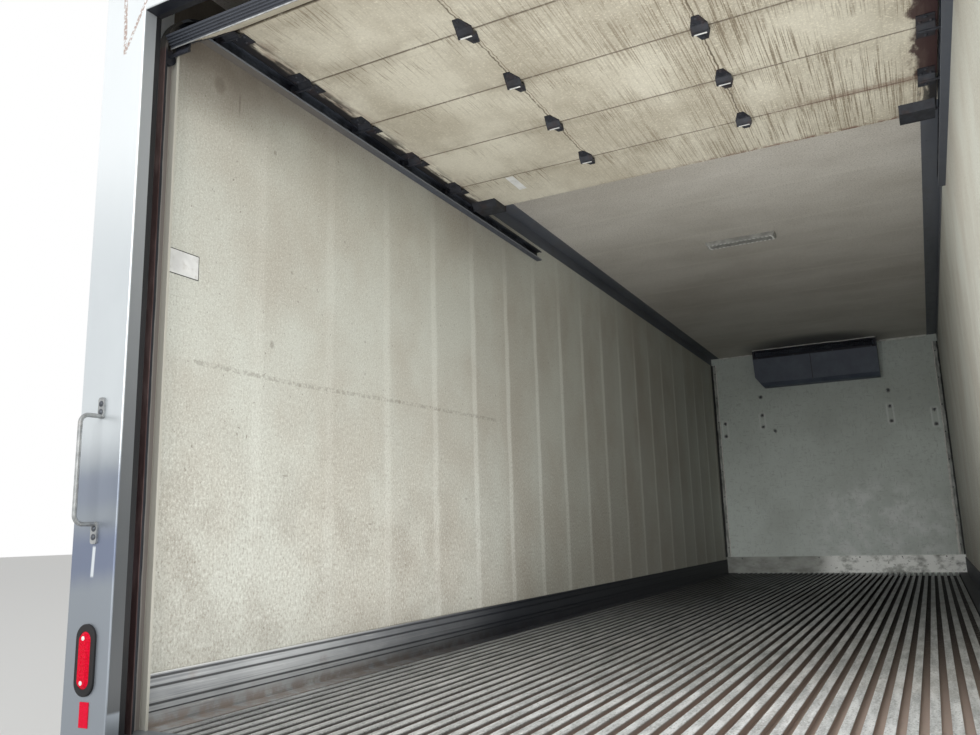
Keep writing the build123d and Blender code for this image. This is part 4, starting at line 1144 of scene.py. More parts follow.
class Program:
    """A geometry node tree made in code. Its inputs are named, and are set by identifier."""

    KINDS = {
        "float": "NodeSocketFloat",
        "int": "NodeSocketInt",
        "vector": "NodeSocketVector",
        "material": "NodeSocketMaterial",
    }

    def __init__(self, name: str, **inputs: str) -> None:
        """Starts a tree.

        Args:
            name: The tree's name.
            inputs: The kind of each named input.
        """
        self.tree = bpy.data.node_groups.new(name, "GeometryNodeTree")
        faces = self.tree.interface
        faces.new_socket("Geometry", in_out="INPUT", socket_type="NodeSocketGeometry")
        faces.new_socket("Geometry", in_out="OUTPUT", socket_type="NodeSocketGeometry")
        self.keys = {}
        for key, kind in {**inputs, "finish": "material"}.items():
            item = faces.new_socket(key, in_out="INPUT", socket_type=self.KINDS[kind])
            self.keys[key] = item.identifier
        self.source = self.tree.nodes.new("NodeGroupInput")
        self.result = self.tree.nodes.new("NodeGroupOutput")

    def given(self, key: str) -> Socket:
        """The output of a named input."""
        return self.source.outputs[key]

    def node(
        self, kind: str, settings: dict[str, object] | None = None, **inputs: object
    ) -> bpy.types.Node:
        """Adds a node.

        Args:
            kind: The node's type, without its GeometryNode prefix where it has one.
            settings: The node's own properties.
            inputs: Sockets or constants by input name, with underscores for spaces.

        Returns:
            The node.
        """
        prefixed = kind if kind.startswith(("Shader", "Function")) else "GeometryNode" + kind
        named = {key.replace("_", " "): value for key, value in inputs.items()}
        return add_node(self.tree, prefixed, named, **(settings or {}))

    def lift(self, shape: Socket, height: Socket, share: float) -> Socket:
        """Moves a shape up by a share of a height.

        Args:
            shape: The geometry.
            height: The height.
            share: The share of it.

        Returns:
            The moved geometry.
        """
        scaled = add_node(self.tree, "ShaderNodeMath", {0: height, 1: share}, operation="MULTIPLY")
        move = self.node("ShaderNodeCombineXYZ", Z=scaled.outputs[0])
        return self.node("Transform", Geometry=shape, Translation=move.outputs[0]).outputs[0]

    def join(self, *shapes: Socket) -> Socket:
        """Joins shapes into one."""
        node = self.node("JoinGeometry")
        for shape in shapes:
            feed(node.inputs[0], shape)
        return node.outputs[0]

    def close(self, shape: Socket) -> None:
        """Ends the tree: instances are realised and the finish is set.

        Args:
            shape: The finished geometry.
        """
        real = self.node("RealizeInstances", Geometry=shape)
        dressed = self.node("SetMaterial", Geometry=real.outputs[0], Material=self.given("finish"))
        feed(self.result.inputs[0], dressed.outputs[0])

    def run(
        self, name: str, finish: Material, carrier: bpy.types.Mesh | None = None, **values: object
    ) -> Piece:
        """Runs the tree and keeps its result as a plain mesh.

        Args:
            name: The piece's name.
            finish: Its material.
            carrier: The mesh that the tree starts from, if it needs one.
            values: The tree's inputs by name.

        Returns:
            The piece, with no modifier.
        """
        host = placed(name + "_host", carrier or bpy.data.meshes.new(name + "_seed"))
        modifier = host.modifiers.new("nodes", "NODES")
        modifier.node_group = self.tree
        for key, value in {**values, "finish": finish}.items():
            modifier[self.keys[key]] = value
        graph = bpy.context.evaluated_depsgraph_get()
        mesh = bpy.data.meshes.new_from_object(host.evaluated_get(graph))
        host.modifiers.remove(modifier)
        bpy.data.objects.remove(host)
        mesh.name = name
        return placed(name, mesh)


class FastenerProgram(Program):
    """Sets a washer and a head on every point of a mesh, along the point's own facing."""

    def __init__(self) -> None:
        """Builds the tree."""
        super().__init__(
            "fasteners", sides="int", radius="float", top="float", height="float",
            washer="float", plate="float",
        )
        disc = self.node(
            "MeshCylinder", Vertices=12, Radius=self.given("washer"), Depth=self.given("plate")
        )
        washer = self.lift(disc.outputs["Mesh"], self.given("plate"), 0.5)
        cone = self.node(
            "MeshCone", Vertices=self.given("sides"), Radius_Top=self.given("top"),
            Radius_Bottom=self.given("radius"), Depth=self.given("height"),
        )
        head = self.lift(cone.outputs["Mesh"], self.given("plate"), 1.0)
        facing = self.node("InputNamedAttribute", {"data_type": "FLOAT_VECTOR"}, Name="facing")
        turn = self.node("FunctionNodeAlignRotationToVector", {"axis": "Z"}, Vector=facing.outputs[0])
        heads = self.node(
            "InstanceOnPoints", Points=self.source.outputs[0], Instance=self.join(washer, head),
            Rotation=turn.outputs[0],
        )
        self.close(heads.outputs[0])


class SlatProgram(Program):
    """Repeats a flat slat along a straight line."""

    def __init__(self) -> None:
        """Builds the tree."""
        super().__init__(
            "slats", count="int", start="vector", step="vector", size="vector", turn="vector"
        )
        line = self.node(
            "MeshLine", {"mode": "OFFSET"}, Count=self.given("count"),
            Start_Location=self.given("start"), Offset=self.given("step"),
        )
        slat = self.node("MeshCube", Size=self.given("size"))
        turn = self.node("FunctionNodeEulerToRotation", Euler=self.given("turn"))
        slats = self.node(
            "InstanceOnPoints", Points=line.outputs[0], Instance=slat.outputs["Mesh"],
            Rotation=turn.outputs[0],
        )
        self.close(slats.outputs[0])


class DashProgram(Program):
    """Sets short dashes along the outline of a flat rectangle."""

    def __init__(self) -> None:
        """Builds the tree."""
        super().__init__(
            "dashes", width="float", depth="float", count="int", dash="vector", centre="vector"
        )
        outline = self.node(
            "CurvePrimitiveQuadrilateral", Width=self.given("width"), Height=self.given("depth")
        )
        points = self.node(
            "CurveToPoints", {"mode": "COUNT"}, Curve=outline.outputs[0], Count=self.given("count")
        )
        dash = self.node("MeshCube", Size=self.given("dash"))
        turn = self.node(
            "FunctionNodeAlignRotationToVector", {"axis": "X"}, Vector=points.outputs["Tangent"]
        )
        dashes = self.node(
            "InstanceOnPoints", Points=points.outputs["Points"], Instance=dash.outputs["Mesh"],
            Rotation=turn.outputs[0],
        )
        moved = self.node("Transform", Geometry=dashes.outputs[0], Translation=self.given("centre"))
        self.close(moved.outputs[0])


class SpringProgram(Program):
    """Winds a round wire along the X axis."""

    def __init__(self) -> None:
        """Builds the tree."""
        super().__init__(
            "spring", turns="float", radius="float", length="float", wire="float", centre="vector"
        )
        helix = self.node(
            "CurveSpiral", Resolution=24, Rotations=self.given("turns"),
            Start_Radius=self.given("radius"), End_Radius=self.given("radius"),
            Height=self.given("length"),
        )
        section = self.node("CurvePrimitiveCircle", Resolution=6, Radius=self.given("wire"))
        wire = self.node(
            "CurveToMesh", Curve=helix.outputs[0], Profile_Curve=section.outputs[0], Fill_Caps=True
        )
        laid = self.node("Transform", Geometry=wire.outputs[0], Rotation=Euler((0, math.pi / 2, 0)))
        moved = self.node("Transform", Geometry=laid.outputs[0], Translation=self.given("centre"))
        self.close(moved.outputs[0])


class BeadProgram(Program):
    """Runs an uneven bead of sealant along a straight corner."""

    def __init__(self) -> None:
        """Builds the tree."""
        super().__init__(
            "bead", start="vector", end="vector", count="int", radius="float", wobble="float"
        )
        line = self.node("CurvePrimitiveLine", Start=self.given("start"), End=self.given("end"))
        steps = self.node("ResampleCurve", Curve=line.outputs[0], Count=self.given("count"))
        noise = self.node("ShaderNodeTexNoise", {"noise_dimensions": "3D"}, Scale=9.0, Detail=2.0)
        centred = add_node(
            self.tree, "ShaderNodeVectorMath", {0: noise.outputs["Color"], 1: (0.5, 0.5, 0.5)},
            operation="SUBTRACT",
        )
        sized = add_node(
            self.tree, "ShaderNodeVectorMath", {0: centred.outputs[0], "Scale": self.given("wobble")},
            operation="SCALE",
        )
        moved = self.node("SetPosition", Geometry=steps.outputs[0], Offset=sized.outputs[0])
        section = self.node("CurvePrimitiveCircle", Resolution=8, Radius=self.given("radius"))
        bead = self.node(
            "CurveToMesh", Curve=moved.outputs[0], Profile_Curve=section.outputs[0], Fill_Caps=True
        )
        self.close(bead.outputs[0])


@dataclass
class Workshop:
    """The node trees and shared finishes that every sub-assembly works with."""

    finishes: Finishes = field(default_factory=Finishes)
    fasteners: FastenerProgram = field(default_factory=FastenerProgram)
    slats: SlatProgram = field(default_factory=SlatProgram)
    dashes: DashProgram = field(default_factory=DashProgram)
    springs: SpringProgram = field(default_factory=SpringProgram)
    beads: BeadProgram = field(default_factory=BeadProgram)


@dataclass
class Row:
    """A straight row of fasteners."""

    start: Point
    end: Point
    count: int
    facing: Facing

    def points(self) -> list[Vector]:
        """The fasteners' places, ends included."""
        first, last = Vector(self.start), Vector(self.end)
        if self.count == 1:
            return [first]
        return [first.lerp(last, i / (self.count - 1)) for i in range(self.count)]

    @classmethod
    def single(cls, place: Point, facing: Facing) -> "Row":
        """A row of one fastener."""
        return cls(place, place, 1, facing)


@dataclass
class Assembly:
    """A group of CAD nodes and the pieces that dress them."""

    shop: Workshop
    pieces: list[Piece] = field(default_factory=list, init=False)

    def dress(self) -> None:
        """Gives the CAD nodes their finishes."""

    def build(self) -> None:
        """Adds the pieces that the CAD doesn't have."""

    def keep(self, piece: Piece, slot: str, body: str = "body") -> Piece:
        """Lets a finished piece ride on a body.

        Args:
            piece: The piece.
            slot: The record's material slot; it is not used.
            body: The body that carries it.

        Returns:
            The same piece.
        """
        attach(piece, body)
        self.pieces.append(piece)
        log.info("%s: %d faces on %s", piece.name, len(piece.data.polygons), body)
        return piece

    def cover(self, material: Material, *nodes: str) -> None:
        """Gives CAD nodes a finish.

        Args:
            material: The finish.
            nodes: The nodes' names.
        """
        for name in nodes:
            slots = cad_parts[name].data.materials
            slots.clear()
            slots.append(material)

    def fasten(
        self, name: str, head: Head, rows: list[Row], finish: Material, slot: str, body: str = "body"
    ) -> Piece:
        """Sets rows of fasteners as one piece.

        Args:
            name: The piece's name.
            head: The kind of fastener.
            rows: The rows.
            finish: The material.
            slot: The record's material slot.
            body: The body that carries them.

        Returns:
            The piece.
        """
        places = [(point, row.facing.value) for row in rows for point in row.points()]
        mesh = bpy.data.meshes.new(name + "_points")
        mesh.from_pydata([place for place, _ in places], [], [])
        facing = mesh.attributes.new("facing", "FLOAT_VECTOR", "POINT")
        for entry, (_, way) in zip(facing.data, places):
            entry.vector = way
        sides, radius, top, height, washer, plate = head.value
        piece = self.shop.fasteners.run(
            name, finish, mesh, sides=sides, radius=radius, top=top, height=height,
            washer=washer, plate=plate,
        )
        return self.keep(piece, slot, body)

    def slab(
        self, name: str, low: Point, high: Point, finish: Material, slot: str, round_off: float,
        body: str = "body",
    ) -> Piece:
        """Makes a thin block with rounded edges.

        Args:
            name: The piece's name.
            low: Its lowest corner.
            high: Its highest corner.
            finish: The material.
            slot: The record's material slot.
            round_off: How far its edges are rounded.
            body: The body that carries it.

        Returns:
            The piece.
        """
        shape = bmesh.new()
        middle, size = (Vector(low) + Vector(high)) / 2, Vector(high) - Vector(low)
        place = Matrix.Translation(middle) @ Matrix.Diagonal((*size, 1))
        bmesh.ops.create_cube(shape, size=1, matrix=place)
        bmesh.ops.bevel(
            shape, geom=shape.edges[:], offset=round_off, segments=3, affect="EDGES", profile=0.5
        )
        return self.keep(solid_piece(name, shape, finish), slot, body)


@dataclass
class CargoShell(Assembly):
    """The panels, rails and corner posts of the insulated box."""

    rivet_pitch: float = 0.15
    rivet_inset: float = 0.022
    bolt_columns: tuple[tuple[float, tuple[float, ...]], ...] = (
        (-1.066, (2.011, 1.865)),
        (-0.650, (2.281, 2.075, 1.943)),
        (-0.529, (1.888,)),
        (0.652, (2.229, 2.062, 1.900)),
        (1.062, (1.989, 1.834)),
    )
    label_low: Pair = (-4.186, 1.728)
    label_high: Pair = (-4.058, 1.807)
    bead_radii: Point = (0.005, 0.006, 0.012)
    bead_inset: float = 0.1
    repair_height: float = 0.9
    track_height: float = 0.060
    row_inset: float = 0.05
    lip_width: float = 0.075
    trim_width: float = 0.048
    joint_drop: float = 0.006
    bead_wobble: float = 0.012

    def dress(self) -> None:
        """Gives the panels and rails their finishes."""
        wall_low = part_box("wall_right")[0]
        y_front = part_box("wall_front")[0].y
        z_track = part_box("door_tracks")[1].z - self.track_height
        self.cover(LinerFinish().make(wall_low.y, z_track, wall_low.x), "wall_left", "wall_right")
        self.cover(RoofFinish().make(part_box("roof")[0].z, y_front), "roof")
        self.cover(FrontWallFinish().make(y_front, self.bolt_columns), "wall_front")
        shared = self.shop.finishes
        self.cover(shared.aluminium, "top_rails", "bottom_rails", "front_top_rail", "front_sill")
        self.cover(shared.corner_cap, "corner_posts")

    def build(self) -> None:
        """Adds the rivets, old bolts, sealant and the blank label."""
        shared = self.shop.finishes
        self.fasten("panel_rivets", Head.RIVET, self.panel_rows(), shared.galvanised, "rail")
        y_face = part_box("wall_front")[0].y
        bolts = [
            Row.single((x, y_face, z), Facing.REAR)
            for x, levels in self.bolt_columns
            for z in levels
        ]
        self.fasten("front_wall_bolts", Head.BOLT, bolts, shared.dark_steel, "steel")
        self.seal_corners()
        x_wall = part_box("wall_left")[1].x
        for name, edge, proud, finish in (
            ("wall_label_backing", 0.003, 0.0006, shared.grille),
            ("blank_wall_label", 0.0, 0.0010, shared.label),
        ):
            low = (x_wall - 0.001, self.label_low[0] - edge, self.label_low[1] - edge)
            high = (x_wall + proud, self.label_high[0] + edge, self.label_high[1] + edge)
            self.slab(name, low, high, finish, "liner", 0.0003)

    def panel_rows(self) -> list[Row]:
        """Rows of rivets along the edges of the outer skins.

        Returns:
            The rows.
        """
        wall_low, wall_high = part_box("wall_right")
        rail_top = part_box("bottom_rails")[1].z
        lip_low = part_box("top_rails")[0].z
        front_low, front_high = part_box("wall_front")
        first, last = wall_low.y + self.row_inset, wall_high.y - self.row_inset
        count = round((last - first) / self.rivet_pitch) + 1
        rows = []
        for side in SIDES:
            x_skin = side * wall_high.x
            for z in (rail_top + self.rivet_inset, lip_low - self.rivet_inset):
                rows.append(Row((x_skin, first, z), (x_skin, last, z), count, outward(side)))
            x_roof = side * (wall_low.x - self.lip_width - self.rivet_inset)
            z_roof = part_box("roof")[1].z
            rows.append(Row((x_roof, first, z_roof), (x_roof, last, z_roof), count, Facing.UP))
            x_edge = side * (front_high.x - self.rivet_inset)
            low, high = front_low.z + self.row_inset, front_high.z - self.row_inset
            upright = round((high - low) / self.rivet_pitch) + 1
            rows.append(
                Row((x_edge, front_high.y, low), (x_edge, front_high.y, high), upright, Facing.FRONT)
            )
        return rows

    def seal_corners(self) -> None:
        """Runs sealant along the front wall's edges."""
        low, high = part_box("wall_front")
        trim_low, trim_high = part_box("corner_trims")
        y = low.y - 0.002
        x_trim = high.x - self.trim_width
        white = self.shop.finishes.sealant
        z_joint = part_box("roof")[0].z - self.joint_drop
        z_foot, z_head = trim_low.z, trim_high.z
        z_repair = z_foot + self.repair_height
        evaporator_low, evaporator_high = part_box("evaporator")
        x_left, x_right, y_case = evaporator_low.x, evaporator_high.x, evaporator_low.y - 0.004
        fine, thin, thick = self.bead_radii
        inset = self.bead_inset
        runs = {
            "ceiling_sealant_left": ((low.x + inset, y, z_joint), (x_left, y, z_joint), 40, thin),
            "ceiling_sealant_right": ((x_right, y, z_joint), (high.x - inset, y, z_joint), 40, thick),
            "evaporator_sealant": ((x_left, y_case, z_joint), (x_right, y_case, z_joint), 60, fine),
            "left_corner_sealant": ((-x_trim, y, z_foot), (-x_trim, y, z_head), 80, fine),
            "right_corner_sealant": ((x_trim, y, z_repair), (x_trim, y, z_head), 60, fine),
            "right_foot_sealant": ((x_trim, y, z_foot), (x_trim, y, z_repair), 50, thick),
        }
        for name, (start, end, count, radius) in runs.items():
            bead = self.shop.beads.run(
                name, white, start=start, end=end, count=count, radius=radius,
                wobble=self.bead_wobble,
            )
            self.keep(bead, "liner")


@dataclass
class FloorAndFrame(Assembly):
    """The grooved deck, its core, the crossmembers and the long sills."""

    plate: float = 0.005

    def dress(self) -> None:
        """Gives the floor and the underframe their finishes."""
        deck_low, deck_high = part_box("floor_deck")
        deck = DeckFinish().make(deck_high.z, deck_low.z + self.plate, deck_low.y)
        self.cover(deck, "floor_deck")
        self.cover(self.shop.finishes.undercoat, "floor_core")
        self.cover(self.shop.finishes.underframe, "crossmembers", "longitudinal_sills")


@dataclass
class Lining(Assembly):
    """The scuff bands, kick plate, corner trims, ceiling angles and ceiling light."""

    cove_pitch: float = 0.30
    kick_pitch: float = 0.40
    led_count: int = 36
    led_size: Point = (0.019, 0.010, 0.0024)
    lamp_rim: float = 0.034
    sheet: float = 0.003
    wall_screw: Pair = (0.02, 0.08)
    ceiling_screw: Pair = (0.070, 0.16)
    kick_screw_drop: float = 0.016
    trim_screw: Pair = (0.034, 0.1)
    trim_screw_count: int = 8

    def dress(self) -> None:
        """Gives the lining its finishes."""
        shared = self.shop.finishes
        deck_low, deck_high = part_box("floor_deck")
        self.cover(ScuffFinish().make(deck_high.z, deck_low.y), "scuff_liners")
        self.cover(KickFinish().make(), "kick_plate")
        self.cover(shared.cove, "ceiling_angles")
        self.cover(TrimFinish().make(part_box("wall_right")[0].x), "corner_trims")
        self.cover(shared.lamp_lens, "ceiling_light")

    def build(self) -> None:
        """Adds the screws and the lamp's light-emitting strips."""
        shared = self.shop.finishes
        self.fasten("ceiling_angle_screws", Head.SCREW, self.angle_rows(), shared.cove, "steel")
        self.fasten("kick_plate_screws", Head.SCREW, self.kick_rows(), shared.dark_steel, "steel")
        low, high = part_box("ceiling_light")
        middle = (low + high) / 2
        leds = self.shop.dashes.run(
            "ceiling_light_leds", shared.diode, width=high.x - low.x - self.lamp_rim,
            depth=high.y - low.y - self.lamp_rim, count=self.led_count, dash=self.led_size,
            centre=(middle.x, middle.y, low.z),
        )
        self.keep(leds, "lamp")

    def angle_rows(self) -> list[Row]:
        """The rows of screws in both legs of the ceiling angles."""
        low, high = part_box("ceiling_angles")
        count = round((high.y - low.y) / self.cove_pitch)
        (rise, wall_start), (reach, ceiling_start) = self.wall_screw, self.ceiling_screw
        rows = []
        for side in SIDES:
            for x, z, start, facing in (
                (high.x - self.sheet, low.z + rise, wall_start, inward(side)),
                (high.x - reach, high.z - self.sheet, ceiling_start, Facing.DOWN),
            ):
                ends = ((side * x, low.y + start, z), (side * x, high.y - start, z))
                rows.append(Row(*ends, count, facing))
        return rows

    def kick_rows(self) -> list[Row]:
        """The rows of screws in the kick plate and the corner trims."""
        low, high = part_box("kick_plate")
        trim_low, trim_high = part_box("corner_trims")
        count = round((high.x - low.x) / self.kick_pitch)
        reach = self.kick_pitch * (count - 1) / 2
        z_kick = high.z - self.kick_screw_drop
        rows = [Row((-reach, low.y, z_kick), (reach, low.y, z_kick), count, Facing.REAR)]
        inset, start = self.trim_screw
        x_trim, y_trim = trim_high.x - inset, trim_high.y - self.sheet
        levels = (trim_low.z + start, trim_high.z - start)
        for side in SIDES:
            ends = [(side * x_trim, y_trim, z) for z in levels]
            rows.append(Row(*ends, self.trim_screw_count, Facing.REAR))
        return rows


@dataclass
class RearFrame(Assembly):
    """The posts, header, threshold, seals, bumpers, lamps and grab handles."""

    reflector_size: Pair = (0.036, 0.067)
    reflector_level: float = 0.420
    reflector_shift: float = 0.004
    pip_rows: tuple[float, ...] = (-0.008, 0.008)
    pip_pitch: float = 0.017
    lens_width: float = 0.046
    pip_end: float = 0.032
    highlight_inset: float = 0.017
    jamb: float = 0.055
    lug_thickness: float = 0.006
    lug_middle: float = 0.031
    lug_bolt_reach: float = 0.012
    rod_inset: float = 0.013
    reflector_faces: Pair = (0.0025, 0.001)
    reflector_round: float = 0.0012

    def dress(self) -> None:
        """Gives the rear frame its finishes."""
        shared = self.shop.finishes
        post_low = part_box("rear_posts")[0]
        half_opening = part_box("rear_sill")[1].x - self.jamb
        steel = PostFinish().make(half_opening, post_low.y, post_low.z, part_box("rear_header")[0].z)
        self.cover(steel, "rear_posts", "rear_header", "rear_sill")
        self.cover(shared.rubber, "door_seals", "dock_bumpers", "lamp_grommets")
        self.cover(shared.red_lens, "tail_lamps", "markers_rear")
        self.cover(shared.amber_lens, "markers_front")
        self.cover(shared.galvanised, "grab_handles")

    def build(self) -> None:
        """Adds the lug bolts, reflectors, the tail lamps' light-emitting pips, and white pips at the lamps'
        ends as painted highlights.
        """
        shared = self.shop.finishes
        handle_low, handle_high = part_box("grab_handles")
        y_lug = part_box("rear_posts")[0].y - self.lug_thickness
        x_rod = handle_high.x - self.rod_inset
        lug_middles = (handle_low.z + self.lug_middle, handle_high.z - self.lug_middle)
        bolts = [
            Row(*[(side * x_rod, y_lug, z + way * self.lug_bolt_reach) for way in SIDES], 2, Facing.REAR)
            for side in SIDES
            for z in lug_middles
        ]
        self.fasten("handle_lug_bolts", Head.CARRIAGE, bolts, shared.dark_steel, "steel")
        lamp_low, lamp_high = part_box("tail_lamps")
        x_lamp = lamp_high.x - self.lens_width / 2
        y_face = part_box("rear_posts")[0].y
        half_width, half_height = (side / 2 for side in self.reflector_size)
        proud, sunk = self.reflector_faces
        for side, label in SIDE_NAMES.items():
            x_middle = side * (x_lamp - self.reflector_shift)
            low = (x_middle - half_width, y_face - proud, self.reflector_level - half_height)
            high = (x_middle + half_width, y_face + sunk, self.reflector_level + half_height)
            self.slab(
                f"reflector_{label}", low, high, shared.reflector, "lens_red", self.reflector_round
            )
        z_low, z_high = lamp_low.z + self.pip_end, lamp_high.z - self.pip_end
        count = round((z_high - z_low) / self.pip_pitch) + 1
        pips = [
            Row(*[(side * x_lamp + dx, lamp_low.y, z) for z in (z_low, z_high)], count, Facing.REAR)
            for side in SIDES
            for dx in self.pip_rows
        ]
        self.fasten("tail_lamp_pips", Head.PIP, pips, shared.red_lens, "lens_red")
        # White pips near each lamp's ends are painted highlights.
        ends = [
            Row.single((side * x_lamp, lamp_low.y, z), Facing.REAR)
            for side in SIDES
            for z in (lamp_low.z + self.highlight_inset, lamp_high.z - self.highlight_inset)
        ]
        self.fasten("tail_lamp_end_highlights", Head.PIP, ends, shared.label, "lens_red")


@dataclass
class RollDoor(Assembly):
    """The open sectional door with its hinges, rollers, tracks and counterbalance."""

    section_pitch: float = 0.400
    plate: float = 0.003
    track_height: float = 0.060
    track_depth: float = 0.034
    track_curve: float = 0.170
    knuckle: float = 0.0068
    hinge_row: float = 0.370
    end_leaf: float = 0.031
    joint_gap: float = 0.001
    skin_split: float = 0.03
    pin_drop: float = 0.020
    pin_highlight_size: Point = (0.046, 0.007, 0.0012)
    bolt_reach: tuple[float, ...] = (0.034, 0.065)
    bolt_spread: tuple[float, ...] = (0.018, 0.0)
    spring_length: float = 0.62
    spring_radius: float = 0.0305
    spring_turns: float = 84
    spring_wire: float = 0.0026
    spring_start: float = 0.008
    bead_size: Pair = (0.005, 0.004)
    bead_tilt: float = 38
    patch_low: Pair = (-0.816, -2.405)
    patch_high: Pair = (-0.774, -2.233)

    def joints(self) -> list[float]:
        """The stations of the section joints, from the rear."""
        top_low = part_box("door_top_section")[0].y
        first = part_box("door_middle_sections")[0].y
        count = round((top_low - first) / self.section_pitch)
        start = top_low - count * self.section_pitch - self.joint_gap
        return [start + i * self.section_pitch for i in range(count + 1)]

    def dress(self) -> None:
        """Gives the door and its hardware their finishes."""
        shared = self.shop.finishes
        low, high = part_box("door_middle_sections")
        y_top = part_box("door_top_section")[1].y
        z_split = low.z + self.skin_split
        door = DoorFinish().make(self.joints(), self.hinge_row, high.x, z_split, y_top)
        self.cover(door, "door_bottom_section", "door_middle_sections", "door_top_section")
        self.cover(shared.door_rail, "door_bottom_rail")
        track_low, track_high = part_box("door_tracks")
        half_depth = self.track_height / 2
        z_track = track_high.z - half_depth
        track = TrackFinish().make(
            track_high.x - self.track_depth, track_low.y + half_depth, z_track,
            z_track - self.track_curve, half_depth,
        )
        self.cover(track, "door_tracks")
        self.cover(shared.dark_steel, "door_lock")
        self.cover(
            shared.track_steel, "door_hinges", "door_end_hinges", "door_rollers", "door_stops"
        )
        self.cover(shared.galvanised, "shaft_hangers")
        self.cover(shared.spring, "counterbalance")

    def build(self) -> None:
        """Adds the hinge bolts, pale slats as painted highlights on the hinge pins, the springs' coils and
        the pale patch on the top section.
        """
        shared = self.shop.finishes
        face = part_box("door_middle_sections")[0].z
        plate_face = face - self.plate
        end_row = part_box("door_end_hinges")[1].x - self.end_leaf
        joints = self.joints()
        leaves = [(y, way) for y in joints for way in SIDES if way > 0 or y > joints[0]]
        for name, row in (("door_hinge_bolts", self.hinge_row), ("door_end_hinge_bolts", end_row)):
            bolts = [
                Row(
                    *[(side * row + dx, y + way * reach, plate_face) for dx in (-spread, spread)],
                    2 if spread else 1, Facing.DOWN,
                )
                for side in SIDES
                for y, way in leaves
                for reach, spread in zip(self.bolt_reach, self.bolt_spread)
            ]
            self.fasten(name, Head.CARRIAGE, bolts, shared.track_steel, "galvanised")
        # Pale slats under the knuckles are painted highlights on the hinge pins.
        z_pin = face - self.pin_drop - self.knuckle
        for side, label in SIDE_NAMES.items():
            pin_highlights = self.shop.slats.run(
                f"door_hinge_pins_{label}", shared.label, count=len(joints),
                start=(side * self.hinge_row, joints[0], z_pin),
                step=(0.0, self.section_pitch, 0.0), size=self.pin_highlight_size, turn=(0.0, 0.0, 0.0),
            )
            self.keep(pin_highlights, "galvanised")
        self.edge_rail(shared.galvanised)
        low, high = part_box("counterbalance")
        y_shaft, z_shaft = (low.y + high.y) / 2, (low.z + high.z) / 2
        for side, label in SIDE_NAMES.items():
            start = self.spring_start if side > 0 else -self.spring_start - self.spring_length
            coils = self.shop.springs.run(
                f"counterbalance_coils_{label}", shared.spring, turns=self.spring_turns,
                radius=self.spring_radius, length=self.spring_length, wire=self.spring_wire,
                centre=(start, y_shaft, z_shaft),
            )
            self.keep(coils, "steel")
        self.slab(
            "door_label_remnant", (*self.patch_low, face - 0.0006), (*self.patch_high, face + 0.001),
            shared.label, "door", 0.0004,
        )

    def edge_rail(self, finish: Material) -> None:
        """Runs a bright bead along the lower corner of the tilted bottom rail.

        Args:
            finish: Its material.
        """
        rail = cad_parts["door_bottom_rail"]
        corners = [rail.matrix_world @ vertex.co for vertex in rail.data.vertices]
        lowest = min(corners, key=lambda corner: corner.z)
        width = max(corner.x for corner in corners) - min(corner.x for corner in corners)
        bead = self.shop.slats.run(
            "door_rail_bead", finish, count=1, start=(0.0, lowest.y, lowest.z + 0.001),
            step=(0.0, 0.0, 0.0), size=(width, *self.bead_size),
            turn=(math.radians(self.bead_tilt), 0.0, 0.0),
        )
        self.keep(bead, "rail")


